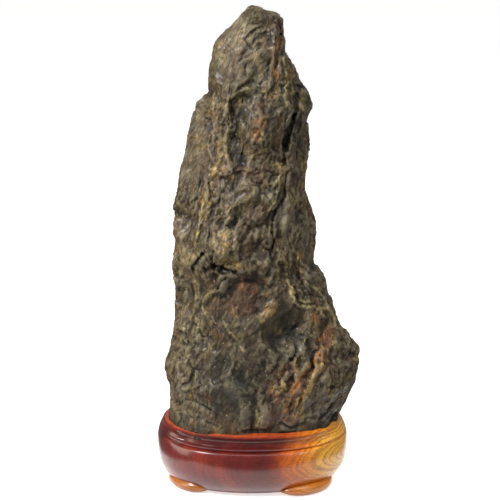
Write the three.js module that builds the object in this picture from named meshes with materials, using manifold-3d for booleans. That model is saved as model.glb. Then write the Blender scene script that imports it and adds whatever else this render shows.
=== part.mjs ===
// A suiseki: a tall, upright viewing stone that stands in the carved seat of a low wooden stand.
// Millimetres, +Z up. The front of the stone faces -Y.

import * as THREE from "three";
import { mergeVertices } from "three/addons/utils/BufferGeometryUtils.js";
import { ImprovedNoise } from "three/addons/math/ImprovedNoise.js";
import Module from "manifold-3d";

const wasm = await Module();
wasm.setup();

// Driving dimensions of the stone
const stoneTop = 350.5;
const stoneFoot = 36.5;
const apex = new THREE.Vector3(4.5, 2, stoneTop);
const stoneAround = 60;
const stoneLevels = 51;
const foliationAcross = 9;
const foliationAlong = 40;
const foliationLift = 2.4;
const unevenAcross = 24;
const unevenAlong = 21;
const unevenLift = 3;
const headStarts = 335;
const facetDepth = 0.9;

// Driving dimensions of the stand
const rimHalfWidth = 66.3;
const rimHalfDepthFront = 45;
const rimHalfDepthBack = 53;
const rimCentreX = 1.2;
const rimHeight = 46.6;
const planFullnessFront = 2.02;
const planFullnessBack = 2.3;
const bulgeToTheRight = 0.5;
const standAround = 56;
const standCore = 22;
const footTop = 8.4;
const footBevel = 1.8;
const footBand = 15;
const footTaperOutside = 5;
const footTaperInside = 3;
const endsFrom = 0.7;
const endsTo = 0.97;

// Clearances between the stone and its seat
const seatGap = 0.35;
const rimGap = 0.9;
const rimGapFrom = 40;
const rimGapTo = 48;

// The stone's outline seen from the front: [height, x] down the left side and down the right side
const leftOutline = [
  [350.5, 4.5], [349.5, -0.5], [346, -5], [336, -14], [331.5, -19.5], [326.5, -24], [321.5, -26],
  [309.5, -28.5], [295.5, -29.5], [290.5, -29.5], [287, -33.5], [282.5, -38], [278.5, -39],
  [262.5, -44], [247, -47], [237, -49.5], [217.5, -53], [209, -55], [203, -55.5], [196, -54.5],
  [190.5, -55.5], [183, -54], [166.5, -56.5], [148, -54], [124.5, -55], [103.5, -58], [96.5, -59.5],
  [92, -62.5], [86.5, -63], [80.5, -60.5], [50, -60], [44, -59.5], [36, -56],
];
const rightOutline = [
  [350.5, 4.5], [349, 9], [346.5, 13.5], [346, 17.5], [343, 21.5], [336, 24], [326.5, 25],
  [319.5, 24.5], [309, 31], [299.5, 34.5], [290.5, 41.5], [279, 44.5], [267.5, 41], [256, 43],
  [249.5, 43], [233.5, 39.5], [225, 38.5], [217.5, 40], [203, 45.5], [195.5, 48], [187.5, 48],
  [166.5, 46.5], [161.5, 47.5], [161, 50.5], [151, 55.5], [142.5, 57.5], [126, 64.5], [112, 73.5],
  [106.5, 78.5], [103.5, 80.5], [96.5, 79.5], [77.5, 77.5], [68, 73.5], [53, 66.5], [46, 64.5],
  [36, 61],
];

// Its outline seen from the side: [height, distance] in front of and behind the middle plane
const frontOutline = [
  [350.5, 1], [346, 9], [338, 16], [322, 23], [305, 26], [290, 28], [270, 30], [245, 31], [230, 34],
  [200, 36], [172, 38], [160, 35], [140, 35], [115, 38], [90, 40], [70, 40], [50, 38], [36, 34],
];
const backOutline = [
  [350.5, 1], [346, 7], [338, 12], [322, 18], [305, 22], [290, 26], [270, 31], [240, 33], [205, 37],
  [160, 39], [120, 43], [85, 47], [50, 46], [44, 45], [36, 41],
];

// Where its outermost lines run: [height, x] of the front and back ones, [height, y] of the side ones
const frontLine = [
  [350.5, 4], [320, -2], [290, -5], [270, 6], [245, -10], [215, -8], [188, -15], [160, -7], [130, 2],
  [90, -9], [36, -4],
];
const backLine = [[350.5, 4], [300, 6], [250, -8], [200, 4], [150, 12], [100, -6], [36, 2]];
const leftLine = [[350.5, 2], [300, 3], [270, 7], [230, -2], [180, 5], [140, -4], [90, 5], [36, 0]];
const rightLine = [
  [350.5, 2], [322, -1], [290, 9], [250, 10], [215, 4], [170, 8], [130, -1], [104, -4], [60, 3],
  [36, 0],
];

// How full the section is between them: 2 is an ellipse, less is flat, more is boxy
const fullnessFrontLeft = [
  [350, 2.2], [290, 1.9], [255, 1.6], [200, 2.1], [120, 2.3], [85, 2], [36, 2.3],
];
const fullnessFrontRight = [
  [350, 2.2], [290, 2.5], [240, 2.2], [180, 2], [130, 1.7], [90, 2.2], [36, 2.2],
];
const fullnessBackLeft = [[350, 2.2], [280, 1.7], [210, 2.2], [150, 1.7], [90, 2.2], [36, 2.2]];
const fullnessBackRight = [[350, 2.2], [270, 2.2], [220, 1.7], [150, 2.2], [95, 1.8], [36, 2.2]];

// Broad lumps and hollows: [x, height, half width, half height, lift], with y for x on the sides
const frontLumps = [
  [8, 270, 14, 28, 5],
  [5, 222, 8, 9, -7],
  [-15, 188, 17, 19, 9],
  [-2, 146, 19, 20, -3],
  [12, 142, 7, 10, 4],
  [23, 128, 13, 22, -7],
  [31, 72, 7, 12, -7],
  [-12, 84, 26, 32, 5],
  [11, 62, 9, 15, 3],
  [58, 88, 22, 30, 7],
  [63, 52, 7, 9, -8],
];
const backLumps = [
  [44, 92, 22, 26, 7],
  [-38, 84, 19, 27, 5],
  [10, 182, 17, 20, 5],
  [22, 150, 13, 16, -7],
  [-12, 112, 13, 15, -6],
  [-8, 262, 12, 20, 4],
  [16, 318, 10, 14, -4],
];

const leftLumps = [
  [-9, 88, 16, 11, 3],
  [22, 76, 13, 17, -6],
  [20, 236, 12, 20, 3],
];
const rightLumps = [
  [18, 92, 14, 17, -7],
  [-16, 250, 10, 18, -4],
  [20, 206, 12, 20, 4],
];

// Ridges, ledges and clefts: points [x, height] along each, with y for x on the sides, its half
// width and its lift
const frontStrokes = [
  { along: [[20, 344], [18, 315], [16, 291]], half: 4.5, lift: -5 },
  { along: [[12, 313], [0, 303], [-13, 290]], half: 5, lift: -4 },
  { along: [[-3, 299], [8, 295], [15, 291]], half: 5, lift: -3 },
  { along: [[-11, 292], [-8, 268], [-8, 253], [-3, 242]], half: 8, lift: -9 },
  { along: [[-24, 290], [-22, 254], [-20, 239]], half: 8, lift: 4 },
  { along: [[-31, 288], [-34, 268], [-37, 250]], half: 4.5, lift: -3 },
  { along: [[25, 311], [26, 290], [29, 280], [24, 266]], half: 5, lift: 5 },
  { along: [[31, 282], [28, 266], [26, 252], [28, 243]], half: 5, lift: -9 },
  { along: [[37, 300], [38, 270], [36, 240]], half: 9, lift: -7 },
  { along: [[-27, 238], [0, 235], [18, 238]], half: 7, lift: 4 },
  { along: [[4, 224], [-13, 216], [-18, 206]], half: 5.5, lift: 4 },
  { along: [[-26, 172], [-15, 169], [-4, 171]], half: 5.5, lift: -8 },
  { along: [[-31, 220], [-36, 198], [-38, 173], [-42, 150], [-44, 127]], half: 4.5, lift: -5 },
  { along: [[-27, 177], [-27, 159], [-32, 150], [-29, 138], [-20, 127], [-9, 116]], half: 4.5, lift: 4 },
  { along: [[-35, 140], [-28, 129], [-18, 121]], half: 6, lift: -6 },
  { along: [[30, 200], [27, 175], [30, 158]], half: 6, lift: -4 },
  { along: [[38, 160], [54, 142], [60, 122], [60, 108]], half: 5, lift: 3 },
  { along: [[54, 125], [48, 101], [39, 89], [30, 81]], half: 4.5, lift: -5 },
  { along: [[36, 110], [24, 95], [18, 80]], half: 7, lift: 3 },
  { along: [[6, 99], [3, 75], [1, 54]], half: 4.5, lift: -5 },
  { along: [[-60, 82], [-41, 80]], half: 4.5, lift: 3 },
  { along: [[-35, 112], [-38, 86], [-36, 58]], half: 4.5, lift: -4 },
];
const backStrokes = [
  { along: [[-8, 332], [-2, 280], [6, 220], [-4, 150], [8, 90], [2, 50]], half: 15, lift: 5 },
  { along: [[-24, 285], [-24, 220], [-31, 160], [-24, 100], [-30, 58]], half: 6, lift: -6 },
  { along: [[22, 300], [28, 240], [24, 190], [39, 140], [30, 70]], half: 6, lift: -7 },
  { along: [[-48, 203], [-20, 208], [14, 216]], half: 6, lift: 4 },
  { along: [[-30, 130], [8, 128], [50, 116]], half: 6, lift: 5 },
  { along: [[-24, 298], [0, 303], [26, 294]], half: 6, lift: 4 },
  { along: [[-40, 246], [-36, 232], [-44, 214]], half: 7, lift: 4 },
];

const leftStrokes = [
  { along: [[12, 296], [9, 250], [17, 200], [13, 150], [19, 100]], half: 6, lift: -5 },
  { along: [[-13, 232], [-15, 190], [-10, 150], [-15, 110]], half: 6, lift: 3 },
  { along: [[-22, 121], [0, 111], [26, 123]], half: 6, lift: 4 },
  { along: [[-14, 209], [6, 203], [28, 213]], half: 6, lift: 3 },
  { along: [[-20, 66], [4, 60], [30, 70]], half: 5, lift: -4 },
];
const rightStrokes = [
  { along: [[14, 302], [-3, 264], [3, 226], [-9, 182]], half: 6, lift: -5 },
  { along: [[23, 244], [22, 190], [27, 130], [15, 78]], half: 6.5, lift: -6 },
  { along: [[-14, 164], [-12, 132], [-7, 106]], half: 7, lift: 4 },
  { along: [[-26, 116], [-4, 98], [24, 112]], half: 6, lift: 3 },
  { along: [[4, 342], [8, 318], [2, 300]], half: 5, lift: -4 },
];

// Flat facets where the stone has split: a place on each, its outward direction and how far it reaches
const facets = [
  { at: [-9, -14, 333], outward: [-0.5, -0.62, 0.6], reach: 30 },
  { at: [-41, -14, 270], outward: [-0.8, -0.58, 0.1], reach: 28 },
  { at: [24, -31, 128], outward: [0.3, -0.92, -0.25], reach: 24 },
  { at: [-52, -20, 92], outward: [-0.76, -0.62, 0.18], reach: 24 },
  { at: [67, -21, 82], outward: [0.74, -0.62, 0.22], reach: 28 },
  { at: [36, -18, 225], outward: [0.7, -0.7, 0.05], reach: 26 },
  { at: [33, 22, 240], outward: [0.62, 0.76, 0.18], reach: 34 },
  { at: [-38, 26, 176], outward: [-0.66, 0.74, 0.14], reach: 36 },
  { at: [-24, 20, 285], outward: [-0.6, 0.74, 0.3], reach: 28 },
  { at: [46, 36, 96], outward: [0.55, 0.8, 0.2], reach: 30 },
];

// The stand's section, from its underside up: [distance outside the rim's edge, height], and the
// same two at the stand's ends, where the cove under the rim runs out and its lines climb
const standSection = [
  [-8, 2.8, -8, 2.8],
  [-4.2, 5.2, -4.6, 5.2],
  [-0.4, 10, -1, 10],
  [2.4, 16, 2, 16],
  [3.7, 22.5, 3.6, 23],
  [4, 29, 4.2, 30],
  [3, 34.6, 4, 36],
  [-0.1, 36.8, 3.4, 39],
  [0.9, 38.4, 3, 41],
  [-1.6, 40, 2.3, 42.6],
  [-2.1, 43, 1.6, 44.2],
  [-1.2, 45.6, 0.8, 45.8],
  [0, rimHeight, 0, rimHeight + 0.4],
  [-4.2, 49.8, -3.6, 50],
  [-10, 51, -10, 51],
];

// The four feet: where each starts and ends round the stand, in degrees, and how far outside the
// rim's edge it stands at the stand's long side and at its end
const feet = [
  { from: 178, to: 238, side: -1, end: -4.5 },
  { from: 291, to: 354, side: 2.4, end: -6 },
  { from: 12, to: 68, side: -3, end: -6 },
  { from: 116, to: 167, side: -3, end: -6 },
];

const noise = new ImprovedNoise();

function readOutline(outline, height) {
  for (let i = 1; i < outline.length; i++) {
    const [upper, upperValue] = outline[i - 1];
    const [lower, lowerValue] = outline[i];
    if (height >= lower) {
      const t = Math.min(1, (upper - height) / (upper - lower));
      return THREE.MathUtils.lerp(upperValue, lowerValue, Math.max(0, t));
    }
  }
  return outline[outline.length - 1][1];
}

// A smooth hump: 1 at its middle, 0 from its edge on
function hump(distance) {
  const inside = Math.max(0, 1 - distance * distance);
  return inside * inside;
}

function distanceToPath(path, x, z) {
  let nearest = Infinity;
  for (let i = 1; i < path.length; i++) {
    const [ax, az] = path[i - 1];
    const [bx, bz] = path[i];
    const dx = bx - ax;
    const dz = bz - az;
    const t = THREE.MathUtils.clamp(((x - ax) * dx + (z - az) * dz) / (dx * dx + dz * dz), 0, 1);
    nearest = Math.min(nearest, Math.hypot(x - ax - t * dx, z - az - t * dz));
  }
  return nearest;
}

// How far the relief lifts the face at a place, in front or behind
function relief(lumps, strokes, x, z) {
  let lift = 0;
  for (const [lumpX, lumpZ, halfWidth, halfHeight, lumpLift] of lumps) {
    lift += lumpLift * hump(Math.hypot((x - lumpX) / halfWidth, (z - lumpZ) / halfHeight));
  }
  for (const stroke of strokes) {
    lift += stroke.lift * hump(distanceToPath(stroke.along, x, z) / stroke.half);
  }
  return lift;
}

// A rounded oval between an ellipse (fullness 2) and a rectangle (higher)
function oval(angle, fullness) {
  const power = 2 / fullness;
  const c = Math.cos(angle);
  const s = Math.sin(angle);
  return [Math.sign(c) * Math.abs(c) ** power, Math.sign(s) * Math.abs(s) ** power];
}

function fullnessAt(angle, height) {
  const toTheRight = Math.cos(angle) > 0;
  const inFront = Math.sin(angle) < 0;
  if (inFront) {
    return readOutline(toTheRight ? fullnessFrontRight : fullnessFrontLeft, height);
  }
  return readOutline(toTheRight ? fullnessBackRight : fullnessBackLeft, height);
}

// A point of the stone's side at a height and an angle round it; inset shrinks it towards the middle
function stonePoint(angle, height, inset) {
  const [across, deep] = oval(angle, fullnessAt(angle, height));
  const toTheRight = across > 0;
  const inFront = deep < 0;
  const sideX = readOutline(toTheRight ? rightOutline : leftOutline, height);
  const sideY = readOutline(toTheRight ? rightLine : leftLine, height);
  const endX = readOutline(inFront ? frontLine : backLine, height);
  const endY = readOutline(inFront ? frontOutline : backOutline, height) * Math.sign(deep);
  const middleX = (readOutline(frontLine, height) + readOutline(backLine, height)) / 2;
  const middleY = (readOutline(leftLine, height) + readOutline(rightLine, height)) / 2;
  let x = THREE.MathUtils.lerp(middleX, endX + (sideX - endX) * Math.abs(across), inset);
  let y = THREE.MathUtils.lerp(middleY, sideY + (endY - sideY) * Math.abs(deep), inset);

  // The relief in front and behind moves points along Y, that on the sides along X
  const fade = inset * (1 - THREE.MathUtils.smoothstep(height, headStarts, stoneTop));
  const towardsEnd = THREE.MathUtils.smoothstep(Math.abs(deep), 0.1, 0.75) * fade;
  const towardsSide = THREE.MathUtils.smoothstep(Math.abs(across), 0.45, 0.9) * fade;
  const endRelief = inFront
    ? relief(frontLumps, frontStrokes, x, height)
    : relief(backLumps, backStrokes, x, height);
  const sideRelief = toTheRight
    ? relief(rightLumps, rightStrokes, y, height)
    : relief(leftLumps, leftStrokes, y, height);
  x += Math.sign(across) * sideRelief * towardsSide;
  y += Math.sign(deep) * endRelief * towardsEnd;

  // Upright foliation of the stone, and broader unevenness
  const leaves = noise.noise(x / foliationAcross, y / foliationAcross, height / foliationAlong);
  const uneven = noise.noise(x / unevenAcross + 7, y / unevenAcross, height / unevenAlong);
  const lift = foliationLift * leaves + unevenLift * uneven;
  const rough = lift * (0.4 + 0.6 * Math.abs(deep)) * fade;
  const outward = new THREE.Vector2(across, deep).normalize();
  return new THREE.Vector3(x + outward.x * rough, y + outward.y * rough, height);
}

function cutFacets(point) {
  for (const { at, outward, reach } of facets) {
    const direction = new THREE.Vector3(...outward).normalize();
    const fromFacet = point.clone().sub(new THREE.Vector3(...at));
    const proud = fromFacet.dot(direction);
    const local = 1 - THREE.MathUtils.smoothstep(fromFacet.length(), 0.6 * reach, reach);
    if (proud > 0) {
      point.addScaledVector(direction, -facetDepth * proud * local);
    }
  }
  return point;
}

// The rows of the stone from its top to its foot: height, and how much of the section is left there
function stoneRows() {
  const rows = [[stoneTop, 0], [349.9, 0.5], [348.6, 0.8]];
  const first = 346;
  const last = stoneFoot + 3;
  for (let i = 0; i < stoneLevels; i++) {
    rows.push([THREE.MathUtils.lerp(first, last, i / (stoneLevels - 1)), 1]);
  }
  rows.push([stoneFoot + 0.6, 0.95], [stoneFoot, 0.78], [stoneFoot + 0.5, 0.42], [stoneFoot + 0.9, 0]);
  return rows;
}

// One row of the stone, stretched sideways so that it reaches its outline on both sides
function stoneRow(height, inset) {
  const points = [];
  for (let column = 0; column < stoneAround; column++) {
    const angle = (2 * Math.PI * column) / stoneAround + Math.PI;
    points.push(cutFacets(stonePoint(angle, height, inset)));
  }
  if (inset < 1) {
    return points;
  }
  const left = readOutline(leftOutline, height);
  const right = readOutline(rightOutline, height);
  const middle = (left + right) / 2;
  const leftmost = Math.min(...points.map((point) => point.x));
  const rightmost = Math.max(...points.map((point) => point.x));
  for (const point of points) {
    const stretch =
      point.x < middle ? (left - middle) / (leftmost - middle) : (right - middle) / (rightmost - middle);
    point.x = middle + (point.x - middle) * stretch;
  }
  return points;
}

function stoneGeometry() {
  const rows = stoneRows();
  const geometry = new THREE.SphereGeometry(1, stoneAround, rows.length - 1);
  const position = geometry.attributes.position;
  rows.forEach(([height, inset], row) => {
    const points = stoneRow(height, inset);
    for (let column = 0; column <= stoneAround; column++) {
      const { x, y, z } = row === 0 ? apex : points[column % stoneAround];
      position.setXYZ(row * (stoneAround + 1) + column, x, y, z);
    }
  });
  return joined(geometry);
}

// Shared vertices merged, triangles of no area dropped
function joined(geometry) {
  geometry.deleteAttribute("normal");
  geometry.deleteAttribute("uv");
  const merged = mergeVertices(geometry, 1e-4);
  const kept = [];
  for (let i = 0; i < merged.index.count; i += 3) {
    const [a, b, c] = [0, 1, 2].map((k) => merged.index.getX(i + k));
    if (a !== b && b !== c && c !== a) {
      kept.push(a, b, c);
    }
  }
  merged.setIndex(kept);
  return merged;
}

function solidOf(geometry) {
  const vertProperties = new Float32Array(geometry.attributes.position.array);
  const triVerts = new Uint32Array(geometry.index.array);
  return new wasm.Manifold(new wasm.Mesh({ numProp: 3, vertProperties, triVerts }));
}

function geometryOf(solid) {
  const mesh = solid.getMesh();
  const geometry = new THREE.BufferGeometry();
  geometry.setAttribute("position", new THREE.BufferAttribute(new Float32Array(mesh.vertProperties), 3));
  geometry.setIndex(new THREE.BufferAttribute(new Uint32Array(mesh.triVerts), 1));
  return geometry;
}

// The stone a little larger all over: what the carver takes out of the stand for it
function seatGeometry(stone) {
  const seat = stone.clone();
  seat.computeVertexNormals();
  const position = seat.attributes.position;
  const normal = seat.attributes.normal;
  for (let i = 0; i < position.count; i++) {
    const place = new THREE.Vector3().fromBufferAttribute(position, i);
    const outward = new THREE.Vector3().fromBufferAttribute(normal, i);
    const nearRim = THREE.MathUtils.smoothstep(place.z, rimGapFrom, rimGapTo);
    place.addScaledVector(outward, THREE.MathUtils.lerp(seatGap, rimGap, nearRim));
    position.setXYZ(i, place.x, place.y, place.z);
  }
  seat.deleteAttribute("normal");
  return seat;
}

// A point of the stand's plan at an angle, so far outside the rim's outer edge
function standPoint(angle, outside) {
  const inFront = Math.sin(angle) < 0;
  const halfDepth = inFront ? rimHalfDepthFront : rimHalfDepthBack;
  const [across, deep] = oval(angle, inFront ? planFullnessFront : planFullnessBack);
  const bulge = outside > 0 ? bulgeToTheRight * across * Math.min(1, outside) : 0;
  const x = rimCentreX + (rimHalfWidth + outside + bulge) * across;
  return new THREE.Vector2(x, (halfDepth + outside) * deep);
}

function standBodyGeometry() {
  const [, underside] = standSection[0];
  const [, top] = standSection[standSection.length - 1];
  const profile = [new THREE.Vector2(0, underside)];
  for (const [outside, height] of standSection) {
    profile.push(new THREE.Vector2(standCore + outside, height));
  }
  profile.push(new THREE.Vector2(0, top));
  const geometry = new THREE.LatheGeometry(profile, standAround);
  const position = geometry.attributes.position;
  for (let column = 0; column <= standAround; column++) {
    const angle = (2 * Math.PI * (column % standAround)) / standAround;
    const nearEnd = THREE.MathUtils.smoothstep(Math.abs(Math.cos(angle)), endsFrom, endsTo);
    profile.forEach((station, row) => {
      const plan = new THREE.Vector2(rimCentreX, (rimHalfDepthBack - rimHalfDepthFront) / 2);
      let level = station.y;
      if (station.x > 0) {
        const [outside, height, outsideAtEnd, heightAtEnd] = standSection[row - 1];
        plan.copy(standPoint(angle, THREE.MathUtils.lerp(outside, outsideAtEnd, nearEnd)));
        level = THREE.MathUtils.lerp(height, heightAtEnd, nearEnd);
      }
      position.setXYZ(column * profile.length + row, plan.x, plan.y, level);
    });
  }
  return joined(geometry);
}

// One foot: a curved pad that follows the stand's plan, its edges eased
function footGeometry(foot) {
  const steps = 8;
  const outer = [];
  const inner = [];
  for (let i = 0; i <= steps; i++) {
    const t = i / steps;
    const angle = THREE.MathUtils.degToRad(THREE.MathUtils.lerp(foot.from, foot.to, t));
    const towardsSide = THREE.MathUtils.smoothstep(Math.abs(Math.sin(angle)), 0.05, 0.8);
    const out = THREE.MathUtils.lerp(foot.end, foot.side, towardsSide);
    const taper = Math.abs(2 * t - 1) ** 3;
    outer.push(standPoint(angle, out - footBevel - footTaperOutside * taper));
    inner.push(standPoint(angle, out - footBand + footTaperInside * taper));
  }
  const shape = new THREE.Shape([...outer, ...inner.reverse()]);
  const geometry = new THREE.ExtrudeGeometry(shape, {
    depth: footTop - 2 * footBevel,
    bevelThickness: footBevel,
    bevelSize: footBevel,
    bevelSegments: 1,
    steps: 1,
  });
  geometry.translate(0, 0, footBevel);
  return joined(geometry);
}

function standGeometry(stone) {
  let solid = solidOf(standBodyGeometry());
  for (const foot of feet) {
    solid = solid.add(solidOf(footGeometry(foot)));
  }
  return geometryOf(solid.subtract(solidOf(seatGeometry(stone))));
}

function named(name, geometry, material) {
  const mesh = new THREE.Mesh(geometry, material);
  mesh.name = name;
  return mesh;
}

const stoneMaterial = new THREE.MeshStandardMaterial({ color: 0x5c503d, roughness: 0.62, metalness: 0 });
const standMaterial = new THREE.MeshStandardMaterial({ color: 0x964a30, roughness: 0.22, metalness: 0 });

const stone = stoneGeometry();
const group = new THREE.Group();
group.add(named("stone", stone, stoneMaterial));
group.add(named("stand", standGeometry(stone), standMaterial));

// The origin is the middle of the bottom of the box round the whole object
const box = new THREE.Box3().setFromObject(group, true);
group.position.set(-(box.min.x + box.max.x) / 2, -(box.min.y + box.max.y) / 2, -box.min.z);
group.updateMatrixWorld(true);

export default group;
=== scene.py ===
import bmesh
import bpy
import numpy as np
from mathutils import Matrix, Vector


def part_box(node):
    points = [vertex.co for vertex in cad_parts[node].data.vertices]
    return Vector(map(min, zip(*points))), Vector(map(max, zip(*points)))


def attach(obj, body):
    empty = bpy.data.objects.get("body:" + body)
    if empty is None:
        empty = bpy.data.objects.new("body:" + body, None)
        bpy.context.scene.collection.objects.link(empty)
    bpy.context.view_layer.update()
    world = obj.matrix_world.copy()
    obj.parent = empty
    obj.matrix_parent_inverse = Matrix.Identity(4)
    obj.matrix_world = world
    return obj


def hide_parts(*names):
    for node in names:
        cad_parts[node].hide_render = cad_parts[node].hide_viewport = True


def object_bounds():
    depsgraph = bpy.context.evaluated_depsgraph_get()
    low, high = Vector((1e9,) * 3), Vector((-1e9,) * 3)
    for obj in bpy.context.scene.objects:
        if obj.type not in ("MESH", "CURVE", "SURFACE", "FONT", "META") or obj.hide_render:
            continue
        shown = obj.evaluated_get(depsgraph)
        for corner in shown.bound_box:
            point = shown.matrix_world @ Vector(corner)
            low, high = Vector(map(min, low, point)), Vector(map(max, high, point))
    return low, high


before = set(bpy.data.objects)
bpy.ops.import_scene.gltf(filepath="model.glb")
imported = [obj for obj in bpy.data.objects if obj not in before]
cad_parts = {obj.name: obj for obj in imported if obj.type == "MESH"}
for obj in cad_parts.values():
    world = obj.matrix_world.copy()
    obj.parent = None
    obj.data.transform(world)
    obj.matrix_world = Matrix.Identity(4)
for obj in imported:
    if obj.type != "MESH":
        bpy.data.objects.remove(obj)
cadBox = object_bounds()
print("frame loaded")

# The shapes are drawn in millimetres; the stand's low corner ties that drawing to the frame
drawnLowX, drawnLowY = -68.8, -49.0
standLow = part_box("stand")[0]
drawingShift = np.array([standLow[0] * 1000 - drawnLowX, standLow[1] * 1000 - drawnLowY, 0.0])


def toFrame(points):
    return (np.asarray(points, dtype=float) + drawingShift) / 1000


def linearColour(hexText):
    parts = [int(hexText[i:i + 2], 16) / 255 for i in (1, 3, 5)]
    parts = [c / 12.92 if c <= 0.04045 else ((c + 0.055) / 1.055) ** 2.4 for c in parts]
    return (*parts, 1.0)


def addNode(tree, kind, inputs=None, **settings):
    node = tree.nodes.new(kind)
    for name, value in settings.items():
        setattr(node, name, value)
    for name, value in (inputs or {}).items():
        if isinstance(value, bpy.types.NodeSocket):
            tree.links.new(value, node.inputs[name])
        else:
            node.inputs[name].default_value = value
    return node


def linkedObject(name, data):
    thing = bpy.data.objects.new(name, data)
    bpy.context.scene.collection.objects.link(thing)
    return thing


def smoothStep(low, high, value):
    t = np.clip((value - low) / (high - low), 0, 1)
    return t * t * (3 - 2 * t)


# Camera: the photograph's, level across and looking down a little
cameraSettings = {
    "eye": (0.0, -1100.0, 440.0),
    "target": (0.0, 0.0, 175.5),
    "pixelsAcross": 500,
    "focalPixels": 1561,
    "sensor": 36.0,
}

cameraData = bpy.data.cameras.new("camera")
cameraData.sensor_width = cameraSettings["sensor"]
cameraData.lens = cameraSettings["sensor"] * cameraSettings["focalPixels"] / cameraSettings["pixelsAcross"]
camera = linkedObject("camera", cameraData)
eye = Vector(toFrame(cameraSettings["eye"]))
target = Vector(toFrame(cameraSettings["target"]))
camera.location = eye
camera.rotation_euler = (target - eye).to_track_quat("-Z", "Y").to_euler()
bpy.context.scene.camera = camera


# Noise: smooth gradient noise and a cell pattern, both from a fixed seed
noiseDirections = np.array([
    (1, 1, 0), (-1, 1, 0), (1, -1, 0), (-1, -1, 0), (1, 0, 1), (-1, 0, 1),
    (1, 0, -1), (-1, 0, -1), (0, 1, 1), (0, -1, 1), (0, 1, -1), (0, -1, -1),
], dtype=float)


def cellHash(cell, seed):
    cell = cell.astype(np.int64)
    h = cell[..., 0] * 374761393 + cell[..., 1] * 668265263 + cell[..., 2] * 1440662683 + seed * 974634777
    h = h & 0xFFFFFFFF
    h = ((h ^ (h >> 13)) * 1274126177) & 0xFFFFFFFF
    return h ^ (h >> 16)


def noise(points, size, seed):
    scaled = points / np.asarray(size, dtype=float)
    cell = np.floor(scaled)
    inside = scaled - cell
    fade = inside ** 3 * (inside * (inside * 6 - 15) + 10)
    total = np.zeros(len(points))
    for corner in np.ndindex(2, 2, 2):
        corner = np.array(corner)
        direction = noiseDirections[cellHash(cell + corner, seed) % 12]
        weight = np.prod(np.where(corner == 1, fade, 1 - fade), axis=1)
        total += weight * np.sum(direction * (inside - corner), axis=1)
    return total


def layeredNoise(points, size, layers, seed):
    size = np.asarray(size, dtype=float)
    total = np.zeros(len(points))
    for layer in range(layers):
        total += noise(points, size / 2.03 ** layer, seed + 17 * layer) / 2 ** layer
    return total


# Distance to the nearest and second nearest seed point, and how far a face through the nearest one,
# tilted its own way, rises here
def cellPattern(points, size, seed):
    scaled = points / np.asarray(size, dtype=float)
    base = np.floor(scaled)
    nearest = np.full(len(points), 9.0)
    second = np.full(len(points), 9.0)
    rise = np.zeros(len(points))
    for step in np.ndindex(3, 3, 3):
        cell = base + np.array(step) - 1
        spot = np.stack([cellHash(cell, seed + k) / 4294967295.0 for k in (1, 2, 3)], axis=1)
        offset = scaled - (cell + 0.15 + 0.7 * spot)
        away = np.linalg.norm(offset, axis=1)
        closer = away < nearest
        second = np.where(closer, nearest, np.minimum(second, away))
        tilt = noiseDirections[cellHash(cell, seed + 4) % 12]
        rise = np.where(closer, np.sum(tilt * offset, axis=1), rise)
        nearest = np.where(closer, away, nearest)
    return nearest, second, rise


# The stone: lengths are in millimetres, and a size is across, deep and tall
stoneSettings = {
    "columnsInFront": 190,
    "columnsBehind": 146,
    "rows": 288,
    "crownRows": 6,
    "crownHeight": 2.5,
    "top": 350.5,
    "foot": 36.5,
    "footCurve": 1.2,
    "soleEdge": ((0.4, 0.97), (0.0, 0.8)),    # height above the sole and the share of the width there
    "soleHollow": 0.6,
    "apex": (4.5, 2.0, 350.5),
    "lineBlur": 8,
    "depthBlur": 3,
    "wander": ((1.6, 15), (0.9, 5.5)),        # how far a line strays, and over what length
    "wanderUp": ((2.2, 17), (0.9, 6)),
    "crownFade": (338, 350.5),
    "leafSize": (9, 9, 42),
    "leafLift": 1.8,
    "fluteSize": (17, 17, 75),
    "fluteLift": 2.2,
    "unevenSize": (24, 24, 21),
    "unevenLift": 2,
    "planeSize": (26, 26, 44),
    "planeLift": 3,
    "planeBend": 4,
    "planesInFront": 0.35,
    "roughInFront": 0.75,
    "facetFlat": 0.55,                        # the share of its reach over which a facet is cut in full
    "facetCut": 0.85,
    "calmHeights": (50, 62),                  # in the seat and just above it the detail is shallow
    "calmAtFoot": 0.25,
    "calmFlanks": 0.35,
    "bend": (1.3, 8),
    "splitFaces": (((8.5, 8.5, 19), 1.44, 10), ((5, 5, 11), 0.63, 12)),    # size, lift and seed
    "splitCrack": (0.45, 0.12),               # how deep and how wide
    "ridgeSize": (5.5, 5.5, 27),
    "fineRidgeSize": (2.6, 2.6, 10),
    "foliationLift": 0.35,
    "smallFaceSize": (2.9, 2.9, 6.4),
    "smallFaceLift": 0.5,
    "grainLift": 0.3,
    "grainSize": 3.6,
    "pitDepth": 0.7,
    "pitSize": 5.2,
    "seed": 11,
}

# Its outline seen from the front: height and x down the left side and down the right side
leftOutline = [
    (350.5, 4.5), (350.3, 1.8), (349.4, -0.3), (345.9, -5.2), (341.1, -9.8), (336.2, -14), (331.3, -19.6),
    (326.4, -23.9), (321.5, -26), (315.9, -27.1), (309.6, -28.5), (302.5, -29.4), (295.4, -29.7),
    (290.5, -29.5), (286.9, -33.3), (282.7, -38.3), (278.4, -39), (269.8, -41.9), (262.6, -44.1),
    (254.7, -44.9), (246.7, -46.8), (237.3, -49.7), (227.1, -51.3), (217.6, -52.8), (208.8, -55.1),
    (202.9, -55.3), (196.3, -54.5), (190.4, -55.4), (182.9, -54.1), (174, -55.8), (166.5, -56.3),
    (156.8, -55.1), (147.8, -53.9), (134.9, -54.6), (124.3, -54.8), (114.4, -56.5), (103.6, -58.1),
    (96.7, -59.4), (92.1, -62.7), (86.7, -62.9), (80.5, -60.6), (75.1, -60.2), (67.3, -59.8),
    (60.3, -59.4), (54, -60), (45.4, -60.4), (36, -56),
]
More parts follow.
